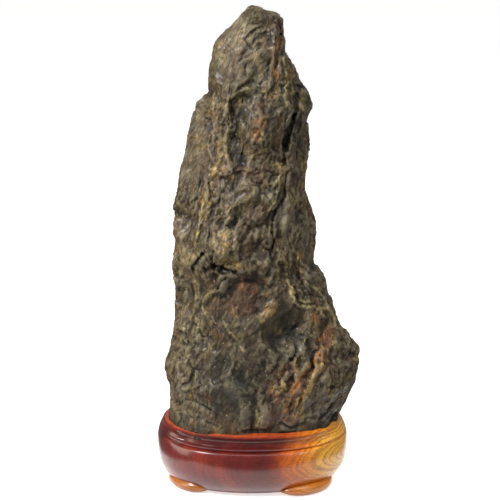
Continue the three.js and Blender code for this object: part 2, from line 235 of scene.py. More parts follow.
rightOutline = [
    (350.5, 4.5), (350.3, 6.8), (349.2, 9.1), (346.6, 13.3), (346.4, 16.8), (345.2, 20.3), (341.8, 22.4),
    (336.2, 23.8), (326.4, 24.9), (319.4, 24.3), (313.8, 27.5), (308.9, 31), (303.2, 33.5), (299.7, 34.2),
    (295.4, 37.5), (290.5, 41.7), (286.2, 43.2), (279.1, 44.7), (274.1, 43.3), (267.6, 40.9),
    (262.6, 41.6), (256.1, 43.1), (249.6, 43.2), (241.7, 41.8), (233.7, 39.7), (224.9, 38.7),
    (217.6, 39.9), (211.8, 42.8), (202.9, 45.4), (195.5, 47.9), (187.4, 48.2), (177, 47.5), (166.5, 46.7),
    (161.2, 47.6), (160.7, 50.5), (156.8, 53.1), (150.8, 55.4), (142.5, 57.6), (134.2, 60.7),
    (125.8, 64.4), (118.2, 68.9), (112.1, 73.4), (106.7, 78.7), (103.6, 80.5), (96.7, 79.5), (87.5, 78.8),
    (77.4, 77.6), (68.1, 73.3), (61, 71.2), (53, 66.5), (46, 64.5), (36, 61),
]

# Its outline seen from the side: height and distance in front of and behind the middle plane
frontOutline = [
    (350.5, 1), (349.5, 4), (346, 9), (338, 16), (322, 23), (305, 26), (290, 28), (270, 30), (245, 31),
    (230, 34), (200, 36), (172, 38), (160, 35), (140, 35), (115, 38), (90, 40), (70, 41), (50, 40.5),
    (36, 37),
]
backOutline = [
    (350.5, 1), (349.5, 3.5), (346, 7), (338, 12), (322, 18), (305, 22), (290, 26), (270, 31), (240, 33),
    (205, 37), (160, 39), (120, 43), (85, 47), (50, 46), (44, 45), (36, 41),
]

# Where the outermost lines run, as height and x in front and behind, and as height and y at the sides
frontLine = [
    (350.5, 4), (320, -2), (290, -5), (270, 6), (245, -10), (215, -8), (188, -15), (160, -7), (130, 2),
    (90, -9), (36, -4),
]
backLine = [(350.5, 4), (300, 6), (250, -8), (200, 4), (150, 12), (100, -6), (36, 2)]
leftLine = [(350.5, 2), (300, 3), (270, 7), (230, -2), (180, 5), (140, -4), (90, 5), (36, 0)]
rightLine = [
    (350.5, 2), (322, -1), (290, 9), (250, 10), (215, 4), (170, 8), (130, -1), (104, -4), (60, 3),
    (36, 0),
]

# How full the section is: 2 is an ellipse, less is flat, more is boxy
fullness = {
    "frontLeft": [
        (350, 2.2), (290, 1.9), (255, 1.6), (200, 2.1), (120, 2.3), (85, 2), (60, 2.4), (36, 2.5),
    ],
    "frontRight": [(350, 2.2), (290, 2.5), (240, 2.2), (180, 2), (130, 1.7), (90, 2.2), (36, 2.35)],
    "backLeft": [(350, 2.2), (280, 1.7), (210, 2.2), (150, 1.7), (90, 2.2), (36, 2.2)],
    "backRight": [(350, 2.2), (270, 2.2), (220, 1.7), (150, 2.2), (95, 1.8), (36, 2.2)],
}

# Lines in front, as x and height, that more than one ridge, crack or vein follows
frontPaths = {
    "brow": [(-8, 291), (-3, 294.6), (4.9, 296.5), (12.8, 293.5), (15.8, 290.5)],
    "midCleft": [(20.5, 243), (19.8, 239.9), (19, 229.4), (16.1, 219.9), (12.3, 211.4)],
    "leftLong": [(-28.5, 231), (-30.7, 222), (-33.5, 210.7), (-37.5, 197.9), (-38.2, 185.6)],
    "leftLow": [(-41.8, 167), (-39, 157), (-37.9, 149), (-39.2, 137.5), (-34.7, 117)],
    "hook": [(-24.5, 153.7), (-31.8, 148.2), (-33.5, 143.3), (-31.3, 137), (-25.7, 129)],
    "slant": [(-20.2, 134), (-14.8, 125.6), (-8.2, 118.2), (-4.4, 111.6)],
    "innerBend": [
        (19.4, 183), (23.3, 173.6), (26.7, 160.3), (29, 151), (31, 145), (36.9, 140.4), (46.2, 138.8),
        (50.1, 136), (52.9, 130),
    ],
    "innerFork": [(29, 153), (34.6, 145.5), (44.4, 142.6)],
    "outerBend": [
        (34.3, 178), (36.7, 163), (41.9, 155.4), (49.4, 148.6), (55, 141.7), (59.6, 131.4), (62, 121),
        (60.4, 108),
    ],
    "streakRidge": [(51.6, 104), (47.7, 93), (39.8, 83.3), (35.4, 71.3), (33.3, 61)],
    "footRidge": [(7.7, 79), (4.4, 66.6), (5.5, 55)],
}

# Lumps and hollows: x, height, half width, half height and lift, with y in place of x at the sides
lumps = {
    "front": [
        (8, 270, 15, 25, 7.5), (-16, 187, 13, 15, 8.5), (-16, 179, 9, 7, 1.8), (-4, 148, 20, 18, -2.5),
        (16, 145, 5, 4, 2.5), (14, 137, 6, 5, 2.5), (10, 133, 5, 4, 1.5), (21, 120, 11, 26, -2.6),
        (29.5, 72, 5.5, 10, -4), (-12, 86, 28, 34, 6.5), (11, 64, 7.5, 14, 3.5), (58, 88, 22, 30, 6),
        (62.5, 54, 6, 8, -8), (25, 203, 6.5, 18, 3), (33, 213, 2, 3, -2.5), (34.5, 206, 2, 3, -2.5),
        (37, 200, 2, 3, -2.5), (32.5, 199, 2, 2.5, -2), (18, 302, 4, 9, -1.4), (16, 268, 6, 20, -1.6),
        (-38, 264, 7, 22, 1.2), (4, 200, 9, 12, 1.6), (6, 182, 8, 9, -2.5), (-47, 196, 7, 22, 1.8),
        (-45, 100, 8, 9, 1.5), (45, 128, 8, 9, 1.6), (-50, 66, 8, 9, 1.6), (38, 196, 7, 14, 1.6),
        (-2, 230, 9, 5, 1.4), (-24, 222, 6, 9, -1.6), (8, 160, 9, 7, 1.6), (-30, 104, 7, 8, -1.4),
        (70, 100, 8, 9, 2), (28, 54, 8, 6, 1.6),
    ],
    "back": [
        (44, 92, 22, 26, 7), (-38, 84, 19, 27, 5), (10, 182, 17, 20, 5), (22, 150, 13, 16, -7),
        (-12, 112, 13, 15, -6), (-8, 262, 12, 20, 4), (16, 318, 10, 14, -4), (-14, 60, 10, 12, 3),
        (30, 250, 8, 16, 2.5), (-40, 150, 8, 16, 2.5), (0, 232, 9, 10, -3), (60, 70, 8, 10, -3),
    ],
    "left": [
        (-9, 88, 16, 11, 3), (22, 76, 13, 17, -6), (20, 236, 12, 20, 3), (-6, 160, 9, 16, -2.5),
        (8, 136, 8, 12, 2.5),
    ],
    "right": [
        (18, 92, 14, 17, -7), (-16, 250, 10, 18, -4), (20, 206, 12, 20, 4), (-6, 70, 10, 12, 3),
        (4, 146, 8, 12, -3),
    ],
}

# Ridges, clefts and ledges: half width, lift, edge, sharpness, path. The edge is 0 where both flanks
# are alike; 1 is proud on the right of a path that runs down, or above one that runs right, and -1 on
# the other flank. Sharpness 0 is a round back and 1 a straight flank.
strokes = {
    "front": [
        (7, 1.8, -1, 1, [(11.5, 314), (6, 308), (0, 302), (-6, 297)]),
        (1.3, -2.3, 0, 1, [(11.5, 313.5), (5.9, 307.2), (0, 301.4), (-6.5, 296)]),
        (1.2, -1.9, 0, 1, [(7.4, 325.4), (2, 320.7), (-3.9, 316.8), (-8.9, 313)]),
        (1.2, -1.8, 0, 1, [(6.9, 337.6), (0, 332.9), (-3.9, 327.3), (1, 323.5), (6.9, 326.3)]),
        (1.1, -1.2, 0, 1, [(12, 333), (7, 331), (2.5, 327.5)]),
        (1.1, -1.2, 0, 1, [(-8, 329), (-12.5, 323), (-9, 318.5), (-3, 321)]),
        (1.1, -1.1, 0, 1, [(-2, 312), (-2.5, 304)]),
        (3, 1.2, 0, 0, [(4, 330), (-2, 327.5), (-6, 322)]),
        (2.4, 2.4, 0, 1, [(17.4, 341), (16.8, 327.2), (15.4, 317.7), (13.4, 308.1), (14, 296.4)]),
        (2.4, -2.2, 0, 0, [(20.7, 342), (19.2, 327.2), (17.7, 317.7), (16.3, 309)]),
        (2, 2.4, 0, 1, [(23.2, 336), (23.9, 324), (23.7, 312), (25.2, 296), (24.7, 288), (28.6, 280),
            (24.8, 272)]),
        (7, 1.3, 1, 1, frontPaths["brow"]),
        (1.3, -1.5, 0, 1, frontPaths["brow"]),
        (8, -3, 0, 0, [(-3, 288), (-8.5, 283), (-9.5, 270), (-8.5, 258), (-8, 247)]),
        (11, 2.2, -1, 1, [(-14.6, 291), (-14.8, 274), (-15.7, 259), (-15.2, 247), (-12, 240)]),
        (1.2, -0.7, 0, 1, [(-12.6, 288), (-12.4, 274), (-13.4, 262), (-12.6, 250)]),
        (1.3, -1.4, 0, 1, [(-20.7, 294), (-19.8, 282), (-21.8, 268), (-20.8, 258), (-23, 244)]),
        (1.6, 1.5, 0, 1, [(-26, 289), (-25, 272), (-27, 258), (-24, 244)]),
        (2.6, -2.6, 0, 1, [(-28.7, 291), (-32.8, 273), (-37, 261), (-42.2, 251), (-46.6, 240)]),
        (1.3, -1.5, 0, 1, [(10.9, 278), (8.9, 259.2), (6, 248)]),
        (1.2, -1.2, 0, 1, [(4, 289), (1, 276), (3, 262)]),
        (2.2, -3.8, 0, 0, [(33, 291), (32.4, 282), (29.5, 275)]),
        (3.2, -6.5, 0, 0, [(30, 276), (27.4, 268), (25.4, 262.6), (23.8, 254)]),
        (1.8, -2.6, 0, 0, [(24, 255), (22, 243)]),
        (9, -3.5, 0, 0, [(38, 299), (40, 284), (38, 264), (38, 243)]),
        (1.6, 2, 0, 1, [(34.8, 292), (36, 281.6), (37, 271)]),
        (2.2, -3, 0, 1, [(26.7, 299), (32.7, 296.5), (37, 294)]),
        (1.6, -2.2, 0, 1, [(31, 262), (33, 250), (30, 240)]),
        (8, 1.3, 1, 1, [(-28, 239), (-18, 235), (-8.9, 241), (1, 239), (12.9, 240), (20.9, 238)]),
        (1.4, 1.8, 0, 1, frontPaths["midCleft"]),
        (1.5, -3.2, 0, 0, [(23.4, 238), (22.2, 232.5), (20.9, 221.8), (17.6, 211.2), (16.6, 197.1),
            (14.4, 179)]),
        (1.5, -2, 0, 1, [(24.2, 223), (30, 211), (31.5, 196), (25, 184)]),
        (3.6, 1.4, 0, 0, [(2.7, 224), (-4.8, 220.2), (-12.3, 216.8), (-15.6, 206.9), (-17.8, 199.2)]),
        (5, -1.3, 0, 0, [(-1.6, 214.8), (-8.6, 207.1), (-12.5, 201)]),
        (1.4, -1.6, 0, 1, [(-23, 198), (-20, 190), (-24, 182)]),
        (1.4, -1.6, 0, 1, [(-13, 196), (-9, 188), (-12, 180)]),
        (2.6, -3.6, 0, 0, [(-24, 172.5), (-17.9, 169.5), (-10, 168.5)]),
        (1.8, 2, 0, 1, [(-27.6, 180), (-25.5, 168.7), (-24.5, 158)]),
        (1.8, -2, 0, 0, [(-32, 180.2), (-36.6, 172.6), (-39.5, 167.2)]),
        (1.8, -1.8, 0, 0, [(-16, 164.5), (-22.3, 156.2)]),
        (1.1, 0.9, 0, 1, frontPaths["hook"]),
        (1.0, 0.8, 0, 1, frontPaths["slant"]),
        (1.2, -0.8, 0, 1, [(-33, 137), (-28, 130), (-22, 126), (-14, 121)]),
        (1.2, 1, 0, 1, frontPaths["leftLow"]),
        (1.5, -1.8, 0, 1, [(-39, 167), (-41.5, 158), (-42.5, 148), (-44.6, 136)]),
        (1.3, 1.3, 0, 1, frontPaths["leftLong"]),
        (1.8, -2, 0, 1, [(-33, 236), (-36, 222), (-40, 205), (-42, 188)]),
        (1.4, -0.8, 0, 1, [(-49, 226), (-51, 200), (-50, 172), (-52, 140), (-50, 112)]),
        (1.6, -1.6, 0, 1, [(-26, 214), (-28, 202), (-27, 190)]),
        (1.2, 1.7, 0, 1, frontPaths["innerBend"]),
        (1.1, 1.3, 0, 1, frontPaths["innerFork"]),
        (1.2, -1, 0, 1, [(30, 149), (36, 143), (45, 141)]),
        (1.3, 1.4, 0, 1, frontPaths["outerBend"]),
        (1.3, -1.2, 0, 1, [(31, 172), (34, 161), (40, 151), (48, 144)]),
        (2, -2, 0, 1, [(56, 134), (58.5, 124), (57, 112)]),
        (1.8, 2, 0, 1, frontPaths["streakRidge"]),
        (1.8, -2.8, 0, 1, [(56, 124), (54, 117), (49.4, 105), (44.6, 96), (35.6, 86.6), (29, 80.5)]),
        (1.8, 2.2, 0, 1, [(52, 120), (47.4, 107), (42, 98), (33, 89)]),
        (2.4, 2, 0, 1, [(43, 117), (36.3, 105.6), (30.8, 95), (25, 84)]),
        (1.8, -2.2, 0, 1, [(39, 118), (33, 107), (27, 96), (21, 86)]),
        (1.5, 1.8, 0, 1, frontPaths["footRidge"]),
        (1.5, -1.6, 0, 1, [(4, 82), (1, 66), (2, 52)]),
        (1.1, -0.7, 0, 1, [(-9.8, 118.6), (-10.4, 94.1), (-1.1, 86.4), (5.5, 84)]),
        (1.2, -0.6, 0, 1, [(-28, 96), (-20, 82), (-22, 64), (-14, 52)]),
        (1.4, -1.6, 0, 1, [(-41, 93), (-44.5, 86), (-49, 78.5)]),
        (2.2, -2, 0, 1, [(-35, 114), (-38, 100), (-36, 84)]),
        (4, 2, 1, 1, [(-62, 76), (-50.6, 76.2), (-39, 82)]),
        (1.4, -1.5, 0, 1, [(-56, 66), (-44, 72), (-30, 68), (-20, 60)]),
        (1.3, -1.4, 0, 1, [(-48, 55), (-36, 61), (-24, 55)]),
        (1.6, -1.8, 0, 1, [(22, 58), (30, 53), (42, 55)]),
        (1.5, -1.6, 0, 1, [(46, 86), (54, 96), (64, 104)]),
        (1.5, -1.6, 0, 1, [(46, 68), (56, 80), (70, 88)]),
        (1.5, -1.6, 0, 1, [(52, 56), (60, 66), (70, 72)]),
        (1.5, 1.4, 0, 1, [(50, 78), (60, 90), (72, 97)]),
    ],
    "back": [
        (15, 5, 0, 0, [(-8, 332), (-2, 280), (6, 220), (-4, 150), (8, 90), (2, 50)]),
        (10, -3.6, 0, 0, [(-24, 285), (-24, 220), (-31, 160), (-24, 100), (-30, 58)]),
        (1.7, -1.6, 0, 1, [(-22, 290), (-26, 240), (-22, 190), (-30, 140), (-22, 90)]),
        (10, -4, 0, 0, [(22, 300), (28, 240), (24, 190), (39, 140), (30, 70)]),
        (1.7, -1.6, 0, 1, [(18, 310), (26, 260), (22, 200), (36, 150), (30, 100)]),
        (7, 2.2, 1, 1, [(-48, 203), (-20, 208), (14, 216)]),
        (7, 2.6, 1, 1, [(-30, 130), (8, 128), (50, 116)]),
        (7, 2.2, 1, 1, [(-24, 298), (0, 303), (26, 294)]),
        (7, 4, 0, 0, [(-40, 246), (-36, 232), (-44, 214)]),
        (1.5, -1.4, 0, 1, [(-4, 322), (4, 290), (-2, 262), (8, 236)]),
        (1.5, -1.4, 0, 1, [(8, 200), (0, 170), (6, 140)]),
        (1.5, -1.4, 0, 1, [(-44, 190), (-40, 160), (-46, 130), (-40, 96)]),
        (1.6, -1.5, 0, 1, [(52, 140), (60, 112), (56, 80)]),
        (6, 2.2, 1, 1, [(-60, 78), (-34, 74), (-8, 82)]),
        (1.5, -1.5, 0, 1, [(12, 100), (6, 76), (14, 54)]),
    ],
    "left": [
        (9, -3, 0, 0, [(12, 296), (9, 250), (17, 200), (13, 150), (19, 100)]),
        (1.6, -1.5, 0, 1, [(10, 300), (12, 250), (15, 206), (11, 160), (18, 110)]),
        (6, 3, 0, 0, [(-13, 232), (-15, 190), (-10, 150), (-15, 110)]),
        (7, 2.4, 1, 1, [(-22, 121), (0, 111), (26, 123)]),
        (7, 2, 1, 1, [(-14, 209), (6, 203), (28, 213)]),
        (6, -2.6, 0, 0, [(-20, 66), (4, 60), (30, 70)]),
        (1.5, -1.4, 0, 1, [(-4, 280), (-6, 240), (0, 200), (-4, 160), (2, 130)]),
        (1.5, -1.4, 0, 1, [(26, 190), (28, 150), (32, 110), (26, 80)]),
        (1.5, -1.4, 0, 1, [(-6, 104), (-12, 84), (-4, 66)]),
    ],
    "right": [
        (9, -3, 0, 0, [(14, 302), (-3, 264), (3, 226), (-9, 182)]),
        (1.6, -1.5, 0, 1, [(10, 306), (0, 268), (5, 228), (-6, 184)]),
        (10, -3.6, 0, 0, [(23, 244), (22, 190), (27, 130), (15, 78)]),
        (7, 4, 0, 0, [(-14, 164), (-12, 132), (-7, 106)]),
        (7, 2.2, 1, 1, [(-26, 116), (-4, 98), (24, 112)]),
        (6, -2.4, 0, 0, [(4, 342), (8, 318), (2, 300)]),
        (1.5, -1.4, 0, 1, [(8, 160), (4, 130), (10, 104)]),
        (1.5, -1.4, 0, 1, [(-14, 96), (-6, 76), (-12, 58)]),
        (1.5, -1.4, 0, 1, [(10, 96), (16, 76), (8, 58)]),
    ],
}

# Flat facets where the stone has split: the side it is on, x or y and height there, its outward
# direction, how far it reaches and how deep it cuts
facets = [
    ("front", -9, 333, (-0.5, -0.7, 0.5), 24, 1.5), ("front", 6, 318, (0.1, -0.98, 0.1), 13, 1.2),
    ("front", -16, 314, (-0.62, -0.78, 0.05), 17, 1.5), ("front", 6, 302, (0.15, -0.97, 0.2), 10, 1),
    ("front", -38, 268, (-0.72, -0.69, 0.1), 24, 2.2), ("front", 16, 270, (0.6, -0.8, 0), 17, 1.6),
    ("front", 2, 272, (-0.35, -0.93, 0.05), 15, 1.4), ("front", 38, 262, (0.6, -0.8, 0.05), 20, 1.5),
    ("front", -46, 214, (-0.66, -0.75, 0.05), 22, 1.6), ("front", -20, 226, (-0.15, -0.96, 0.2), 13, 1.4),
    ("front", 6, 206, (0.3, -0.93, -0.2), 14, 1.4), ("front", 38, 190, (0.6, -0.8, 0.05), 22, 1.6),
    ("front", -14, 196, (-0.1, -0.9, 0.42), 12, 1.2), ("front", -2, 150, (0.12, -0.97, 0.18), 22, 2),
    ("front", 24, 128, (0.36, -0.91, -0.2), 23, 2.4), ("front", -22, 142, (-0.3, -0.95, 0.1), 13, 1.2),
    ("front", -48, 150, (-0.66, -0.75, 0), 22, 1.6), ("front", -29, 104, (-0.42, -0.9, 0.15), 24, 2.4),
    ("front", -2, 100, (0.16, -0.98, 0.12), 19, 1.2), ("front", -22, 68, (-0.14, -0.98, -0.1), 22, 2),
    ("front", -3, 72, (0.25, -0.96, -0.1), 12, 0.7), ("front", -52, 92, (-0.76, -0.62, 0.2), 22, 1.8),
    ("front", -50, 62, (-0.6, -0.79, -0.1), 18, 1.6), ("front", 66, 90, (0.72, -0.66, 0.2), 26, 2.2),
    ("front", 50, 76, (0.25, -0.96, -0.05), 16, 1.4), ("front", 48, 124, (0.5, -0.83, 0.25), 16, 1.6),
    ("back", 33, 240, (0.62, 0.76, 0.18), 32, 3), ("back", -38, 176, (-0.66, 0.74, 0.14), 34, 3),
    ("back", -24, 285, (-0.6, 0.74, 0.3), 26, 2.4), ("back", 46, 96, (0.55, 0.8, 0.2), 30, 3),
    ("back", 4, 200, (0.1, 0.98, 0.15), 22, 2), ("back", -20, 130, (-0.25, 0.96, 0.1), 22, 2),
    ("back", 20, 70, (0.15, 0.98, 0), 20, 2), ("back", -44, 84, (-0.6, 0.79, 0.1), 20, 2),
    ("back", 8, 300, (0.2, 0.93, 0.3), 18, 1.6), ("left", -4, 180, (-0.99, -0.05, 0.1), 20, 1.6),
    ("left", 14, 120, (-0.95, 0.3, 0.1), 20, 1.8), ("left", 10, 250, (-0.95, 0.25, 0.2), 20, 1.6),
    ("right", 0, 230, (0.99, 0.05, 0), 22, 1.6), ("right", 8, 90, (0.95, 0.3, 0.05), 22, 1.8),
    ("right", -4, 140, (0.85, -0.1, 0.5), 18, 1.5), ("right", 4, 310, (0.93, 0.1, 0.35), 18, 1.5),
]

# Where the surface is calmer than elsewhere: x, height, half width, half height and how calm
calmPatches = [
    (-6, 324, 26, 26, 0.6), (24, 128, 14, 22, 0.45), (-14, 86, 30, 38, 0.5), (-38, 264, 9, 26, 0.5),
    (11, 64, 9, 14, 0.4), (25, 203, 8, 18, 0.55), (16, 272, 7, 20, 0.4), (-4, 150, 16, 14, 0.3),
]


def readTable(table, height, blur=0):
    levels = [row[0] for row in table][::-1]
    values = [row[1] for row in table][::-1]
    if not blur:
        return np.interp(height, levels, values)
    fine = np.arange(30.0, 352.0, 1.0)
    kernel = np.exp(-0.5 * (np.arange(-3 * blur, 3 * blur + 1) / blur) ** 2)
    padded = np.pad(np.interp(fine, levels, values), 3 * blur, mode="edge")
    smooth = np.convolve(padded, kernel / kernel.sum(), "valid")
    near = smoothStep(349, 342, height)  # the crown keeps its own curve
    return near * np.interp(height, fine, smooth) + (1 - near) * np.interp(height, levels, values)


# The distance to a path, and which flank of it a place is on
def fromPath(path, u, z):
    nearest = np.full(len(u), 1e9)
    flank = np.ones(len(u))
    for (au, az), (bu, bz) in zip(path[:-1], path[1:]):
        du, dz = bu - au, bz - az
        t = np.clip(((u - au) * du + (z - az) * dz) / (du * du + dz * dz), 0, 1)
        away = np.hypot(u - au - t * du, z - az - t * dz)
        closer = away < nearest
        nearest = np.where(closer, away, nearest)
        flank = np.where(closer, np.sign(du * (z - az) - dz * (u - au)), flank)
    return nearest, flank


def relief(side, u, z, broken):
    # Broken is noise that makes a stroke's width and lift vary, a thin one's the most
    lift = np.zeros(len(u))
    for centre, height, halfWidth, halfHeight, amount in lumps[side]:
        away = ((u - centre) / halfWidth) ** 2 + ((z - height) / halfHeight) ** 2
        lift += amount * np.clip(1 - away, 0, 1) ** 2
    for half, amount, edge, sharpness, path in strokes[side]:
        away, flank = fromPath(path, u, z)
        away = away / (half * (1 + 0.5 * broken))
        if edge:
            away = np.where(flank == edge, away, away / 0.22)
        if sharpness:
            profile = np.clip(1 - away, 0, 1) ** sharpness
        else:
            profile = np.clip(1 - away ** 2, 0, 1) ** 2
        lift += amount * profile * np.clip(1 + (0.9 if half < 3 else 0.35) * broken, 0.25, 1.6)
    return lift


def gridNormals(grid):
    around = np.roll(grid, -1, axis=1) - np.roll(grid, 1, axis=1)
    down = np.gradient(grid, axis=0)
    normal = np.cross(down, around)
    return normal / np.maximum(np.linalg.norm(normal, axis=2, keepdims=True), 1e-9)


def blurGrid(grid, times):
    for _ in range(times):
        grid = 0.5 * grid + 0.25 * (np.roll(grid, 1, axis=1) + np.roll(grid, -1, axis=1))
        padded = np.concatenate([grid[:1], grid, grid[-1:]])
        grid = 0.5 * grid + 0.25 * (padded[:-2] + padded[2:])
    return grid


# The sum of layers of noise, each with how far it moves a place and over what length
def straying(points, layers, seed):
    return sum(far * noise(points, size, seed + k) for k, (far, size) in enumerate(layers))


def stoneGrid(s):
    # Rows of heights, closer together at the crown, and columns, closer together in front
    crown = s["top"] - s["crownHeight"] * (np.arange(1, s["crownRows"] + 1) / s["crownRows"]) ** 2
    body = np.linspace(crown[-1], s["foot"] + s["footCurve"], s["rows"] - s["crownRows"] - len(s["soleEdge"]))
    aboveSole, widths = np.array(s["soleEdge"]).T
    heights = np.concatenate([crown, body[1:], s["foot"] + aboveSole])
    insets = np.concatenate([np.ones(len(heights) - len(widths)), widths])
    behind = np.linspace(0, np.pi, s["columnsBehind"], endpoint=False)
    inFront = np.linspace(np.pi, 2 * np.pi, s["columnsInFront"], endpoint=False)
    angle, z = np.meshgrid(np.concatenate([behind, inFront]), heights)
    inset = np.repeat(insets[:, None], angle.shape[1], axis=1)
    rows, columns = angle.shape
    angle, z, inset = angle.ravel(), z.ravel(), inset.ravel()

    right, front = np.cos(angle) > 0, np.sin(angle) < 0
    quarter = {name: readTable(table, z, s["lineBlur"]) for name, table in fullness.items()}
    full = np.where(front, np.where(right, quarter["frontRight"], quarter["frontLeft"]),
                    np.where(right, quarter["backRight"], quarter["backLeft"]))
    across = np.sign(np.cos(angle)) * np.abs(np.cos(angle)) ** (2 / full)
    deep = np.sign(np.sin(angle)) * np.abs(np.sin(angle)) ** (2 / full)
    inFrontX, behindX, leftY, rightY = (
        readTable(line, z, s["lineBlur"]) for line in (frontLine, backLine, leftLine, rightLine))
    lineX, middleX = np.where(front, inFrontX, behindX), (inFrontX + behindX) / 2
    lineY, middleY = np.where(right, rightY, leftY), (leftY + rightY) / 2
    sideX = np.where(right, readTable(rightOutline, z), readTable(leftOutline, z))
    endY = np.sign(deep) * np.where(
        front, readTable(frontOutline, z, s["depthBlur"]), readTable(backOutline, z, s["depthBlur"]))
    x = middleX + (lineX + (sideX - lineX) * np.abs(across) - middleX) * inset
    y = middleY + (lineY + (endY - lineY) * np.abs(deep) - middleY) * inset

    # The relief's lines wander a little, as cracks in stone do
    place = np.stack([x, y, z], axis=1)
    wander = straying(place, s["wander"], s["seed"])
    wanderUp = straying(place, s["wanderUp"], s["seed"] + 2)
    fade = inset * (1 - smoothStep(*s["crownFade"], z))
    endWeight = smoothStep(0.1, 0.6, np.abs(deep)) * fade
    sideWeight = smoothStep(0.45, 0.9, np.abs(across)) * fade
    broken = layeredNoise(place, 13, 2, s["seed"] + 7)
    bentX, bentY, bentZ = x + wander, y + wander, z + wanderUp
    ends = np.where(front, relief("front", bentX, bentZ, broken), relief("back", bentX, bentZ, broken))
    sides = np.where(right, relief("right", bentY, bentZ, broken), relief("left", bentY, bentZ, broken))
    leaves = noise(place, s["leafSize"], s["seed"] + 4)
    flutes = 0.5 - np.abs(noise(place, s["fluteSize"], s["seed"] + 5))
    uneven = noise(place, s["unevenSize"], s["seed"] + 6)
    leaning = (place + s["planeBend"] * np.stack([leaves, uneven, flutes], axis=1)) @ np.array([
        [0.83, 0.3, 0.47], [-0.33, 0.94, -0.01], [-0.45, -0.15, 0.88]])
    planes = s["planeLift"] * cellPattern(leaning, s["planeSize"], s["seed"] + 8)[2]
    rough = s["leafLift"] * leaves + s["unevenLift"] * uneven + s["fluteLift"] * (flutes - 0.3)
    rough = rough + planes * np.where(front, s["planesInFront"], 1.0)
    rough *= (0.45 + 0.55 * np.abs(deep)) * fade * np.where(front, s["roughInFront"], 1.0)
    length = np.maximum(np.hypot(across, deep), 1e-6)
    x = x + np.sign(across) * sides * sideWeight + across / length * rough
    y = y + np.sign(deep) * ends * endWeight + deep / length * rough
    place = np.stack([x, y, z], axis=1)

    for side, u, height, outward, reach, depth in facets:
        outward = np.array(outward) / np.linalg.norm(outward)
        axis = 1 if side in ("front", "back") else 0
        onSide = place[:, axis] * (1 if side in ("back", "right") else -1) > 0
        nearest = np.argmin(np.where(onSide, np.hypot(place[:, 1 - axis] - u, place[:, 2] - height), 1e9))
        offset = place - (place[nearest] - depth * outward)
        proud = np.maximum(offset @ outward, 0)
        local = 1 - smoothStep(s["facetFlat"] * reach, reach, np.linalg.norm(offset, axis=1))
        place = place - s["facetCut"] * np.outer(proud * local, outward)

    # Each row reaches the outline on both sides
    grid = place.reshape(rows, columns, 3)
    for row in range(4, rows - 2):
        height = grid[row, 0, 2]
        low, high = readTable(leftOutline, height), readTable(rightOutline, height)
        middle = (low + high) / 2
        line = grid[row, :, 0] - middle
        grid[row, :, 0] = middle + np.where(
            line < 0, line * (low - middle) / line.min(), line * (high - middle) / line.max())
    return grid


def carveDetail(grid, s):
    rows, columns, _ = grid.shape
    seed = s["seed"] + 100
    x, y, z = np.moveaxis(grid, 2, 0)
    calm = s["calmAtFoot"] + (1 - s["calmAtFoot"]) * smoothStep(*s["calmHeights"], z)
    calm[-3:] = 0.0
    # The detail is also fainter in the calm patches, in places at random, and on the flanks
    for centre, height, halfWidth, halfHeight, amount in calmPatches:
        away = np.hypot((x - centre) / halfWidth, (z - height) / halfHeight)
        calm *= 1 - amount * smoothStep(1.2, 0.6, away) * (y < 5)
    drift = noise(grid.reshape(-1, 3), (26, 26, 38), seed + 50).reshape(rows, columns)
    calm *= 1 - 0.6 * smoothStep(-0.05, 0.3, drift)
    sideways = np.abs(gridNormals(blurGrid(grid, 20))[:, :, 0])
    calm *= 1 - s["calmFlanks"] * smoothStep(0.75, 0.97, sideways)
    for step in ("split faces", "leaves", "grain"):
        place = grid.reshape(-1, 3)
        far, length = s["bend"]
        bent = place + far * np.stack([noise(place, length, seed + k) for k in (1, 2, 3)], axis=1)
        if step == "split faces":    # each tilted its own way, with a crack round the larger ones
            slanted = bent @ np.array([[0.94, 0, 0.34], [0, 1, 0], [-0.34, 0, 0.94]])
            (near, second, rise), (_, _, smaller) = (
                cellPattern(slanted, size, seed + own) for size, _, own in s["splitFaces"])
            depth, width = s["splitCrack"]
            lift = s["splitFaces"][0][1] * rise - depth * np.clip(1 - (second - near) / width, 0, 1)
            lift += s["splitFaces"][1][1] * smaller
        elif step == "leaves":       # upright leaves of the stone, broken by smaller faces
            ridges = 1 - 2.4 * np.abs(noise(bent, s["ridgeSize"], seed + 20))
            fine = 1 - 2.4 * np.abs(noise(bent, s["fineRidgeSize"], seed + 21))
            slanted = bent @ np.array([[0.8, 0, 0.6], [0, 1, 0], [-0.6, 0, 0.8]])
            rise = cellPattern(slanted, s["smallFaceSize"], seed + 22)[2]
            lift = s["foliationLift"] * (0.6 * ridges + 0.3 * fine - 0.4) + s["smallFaceLift"] * rise
        else:
            pits = smoothStep(0.3, 0.12, cellPattern(place, s["pitSize"], seed + 40)[0])
            pits = pits * smoothStep(0.0, 0.3, noise(place, 19, seed + 41))
            lift = s["grainLift"] * layeredNoise(place, s["grainSize"], 2, seed + 30) - s["pitDepth"] * pits
        grid = grid + gridNormals(grid) * (lift.reshape(rows, columns) * calm)[:, :, None]
    return grid


def closedStone(grid, apex):
    rows, columns, _ = grid.shape
    foot = grid[-1].mean(axis=0) + np.array([0, 0, stoneSettings["soleHollow"]])
    verts = np.concatenate([grid.reshape(-1, 3), [apex], [foot]])
    top, bottom = len(verts) - 2, len(verts) - 1
    index = np.arange(rows * columns).reshape(rows, columns)
    right = np.roll(index, -1, axis=1)
    quads = np.stack([index[:-1], index[1:], right[1:], right[:-1]], axis=-1).reshape(-1, 4)
    faces = quads.tolist()
    faces += [[top, a, b] for a, b in zip(index[0].tolist(), right[0].tolist())]
    faces += [[bottom, b, a] for a, b in zip(index[-1].tolist(), right[-1].tolist())]
    return verts, faces


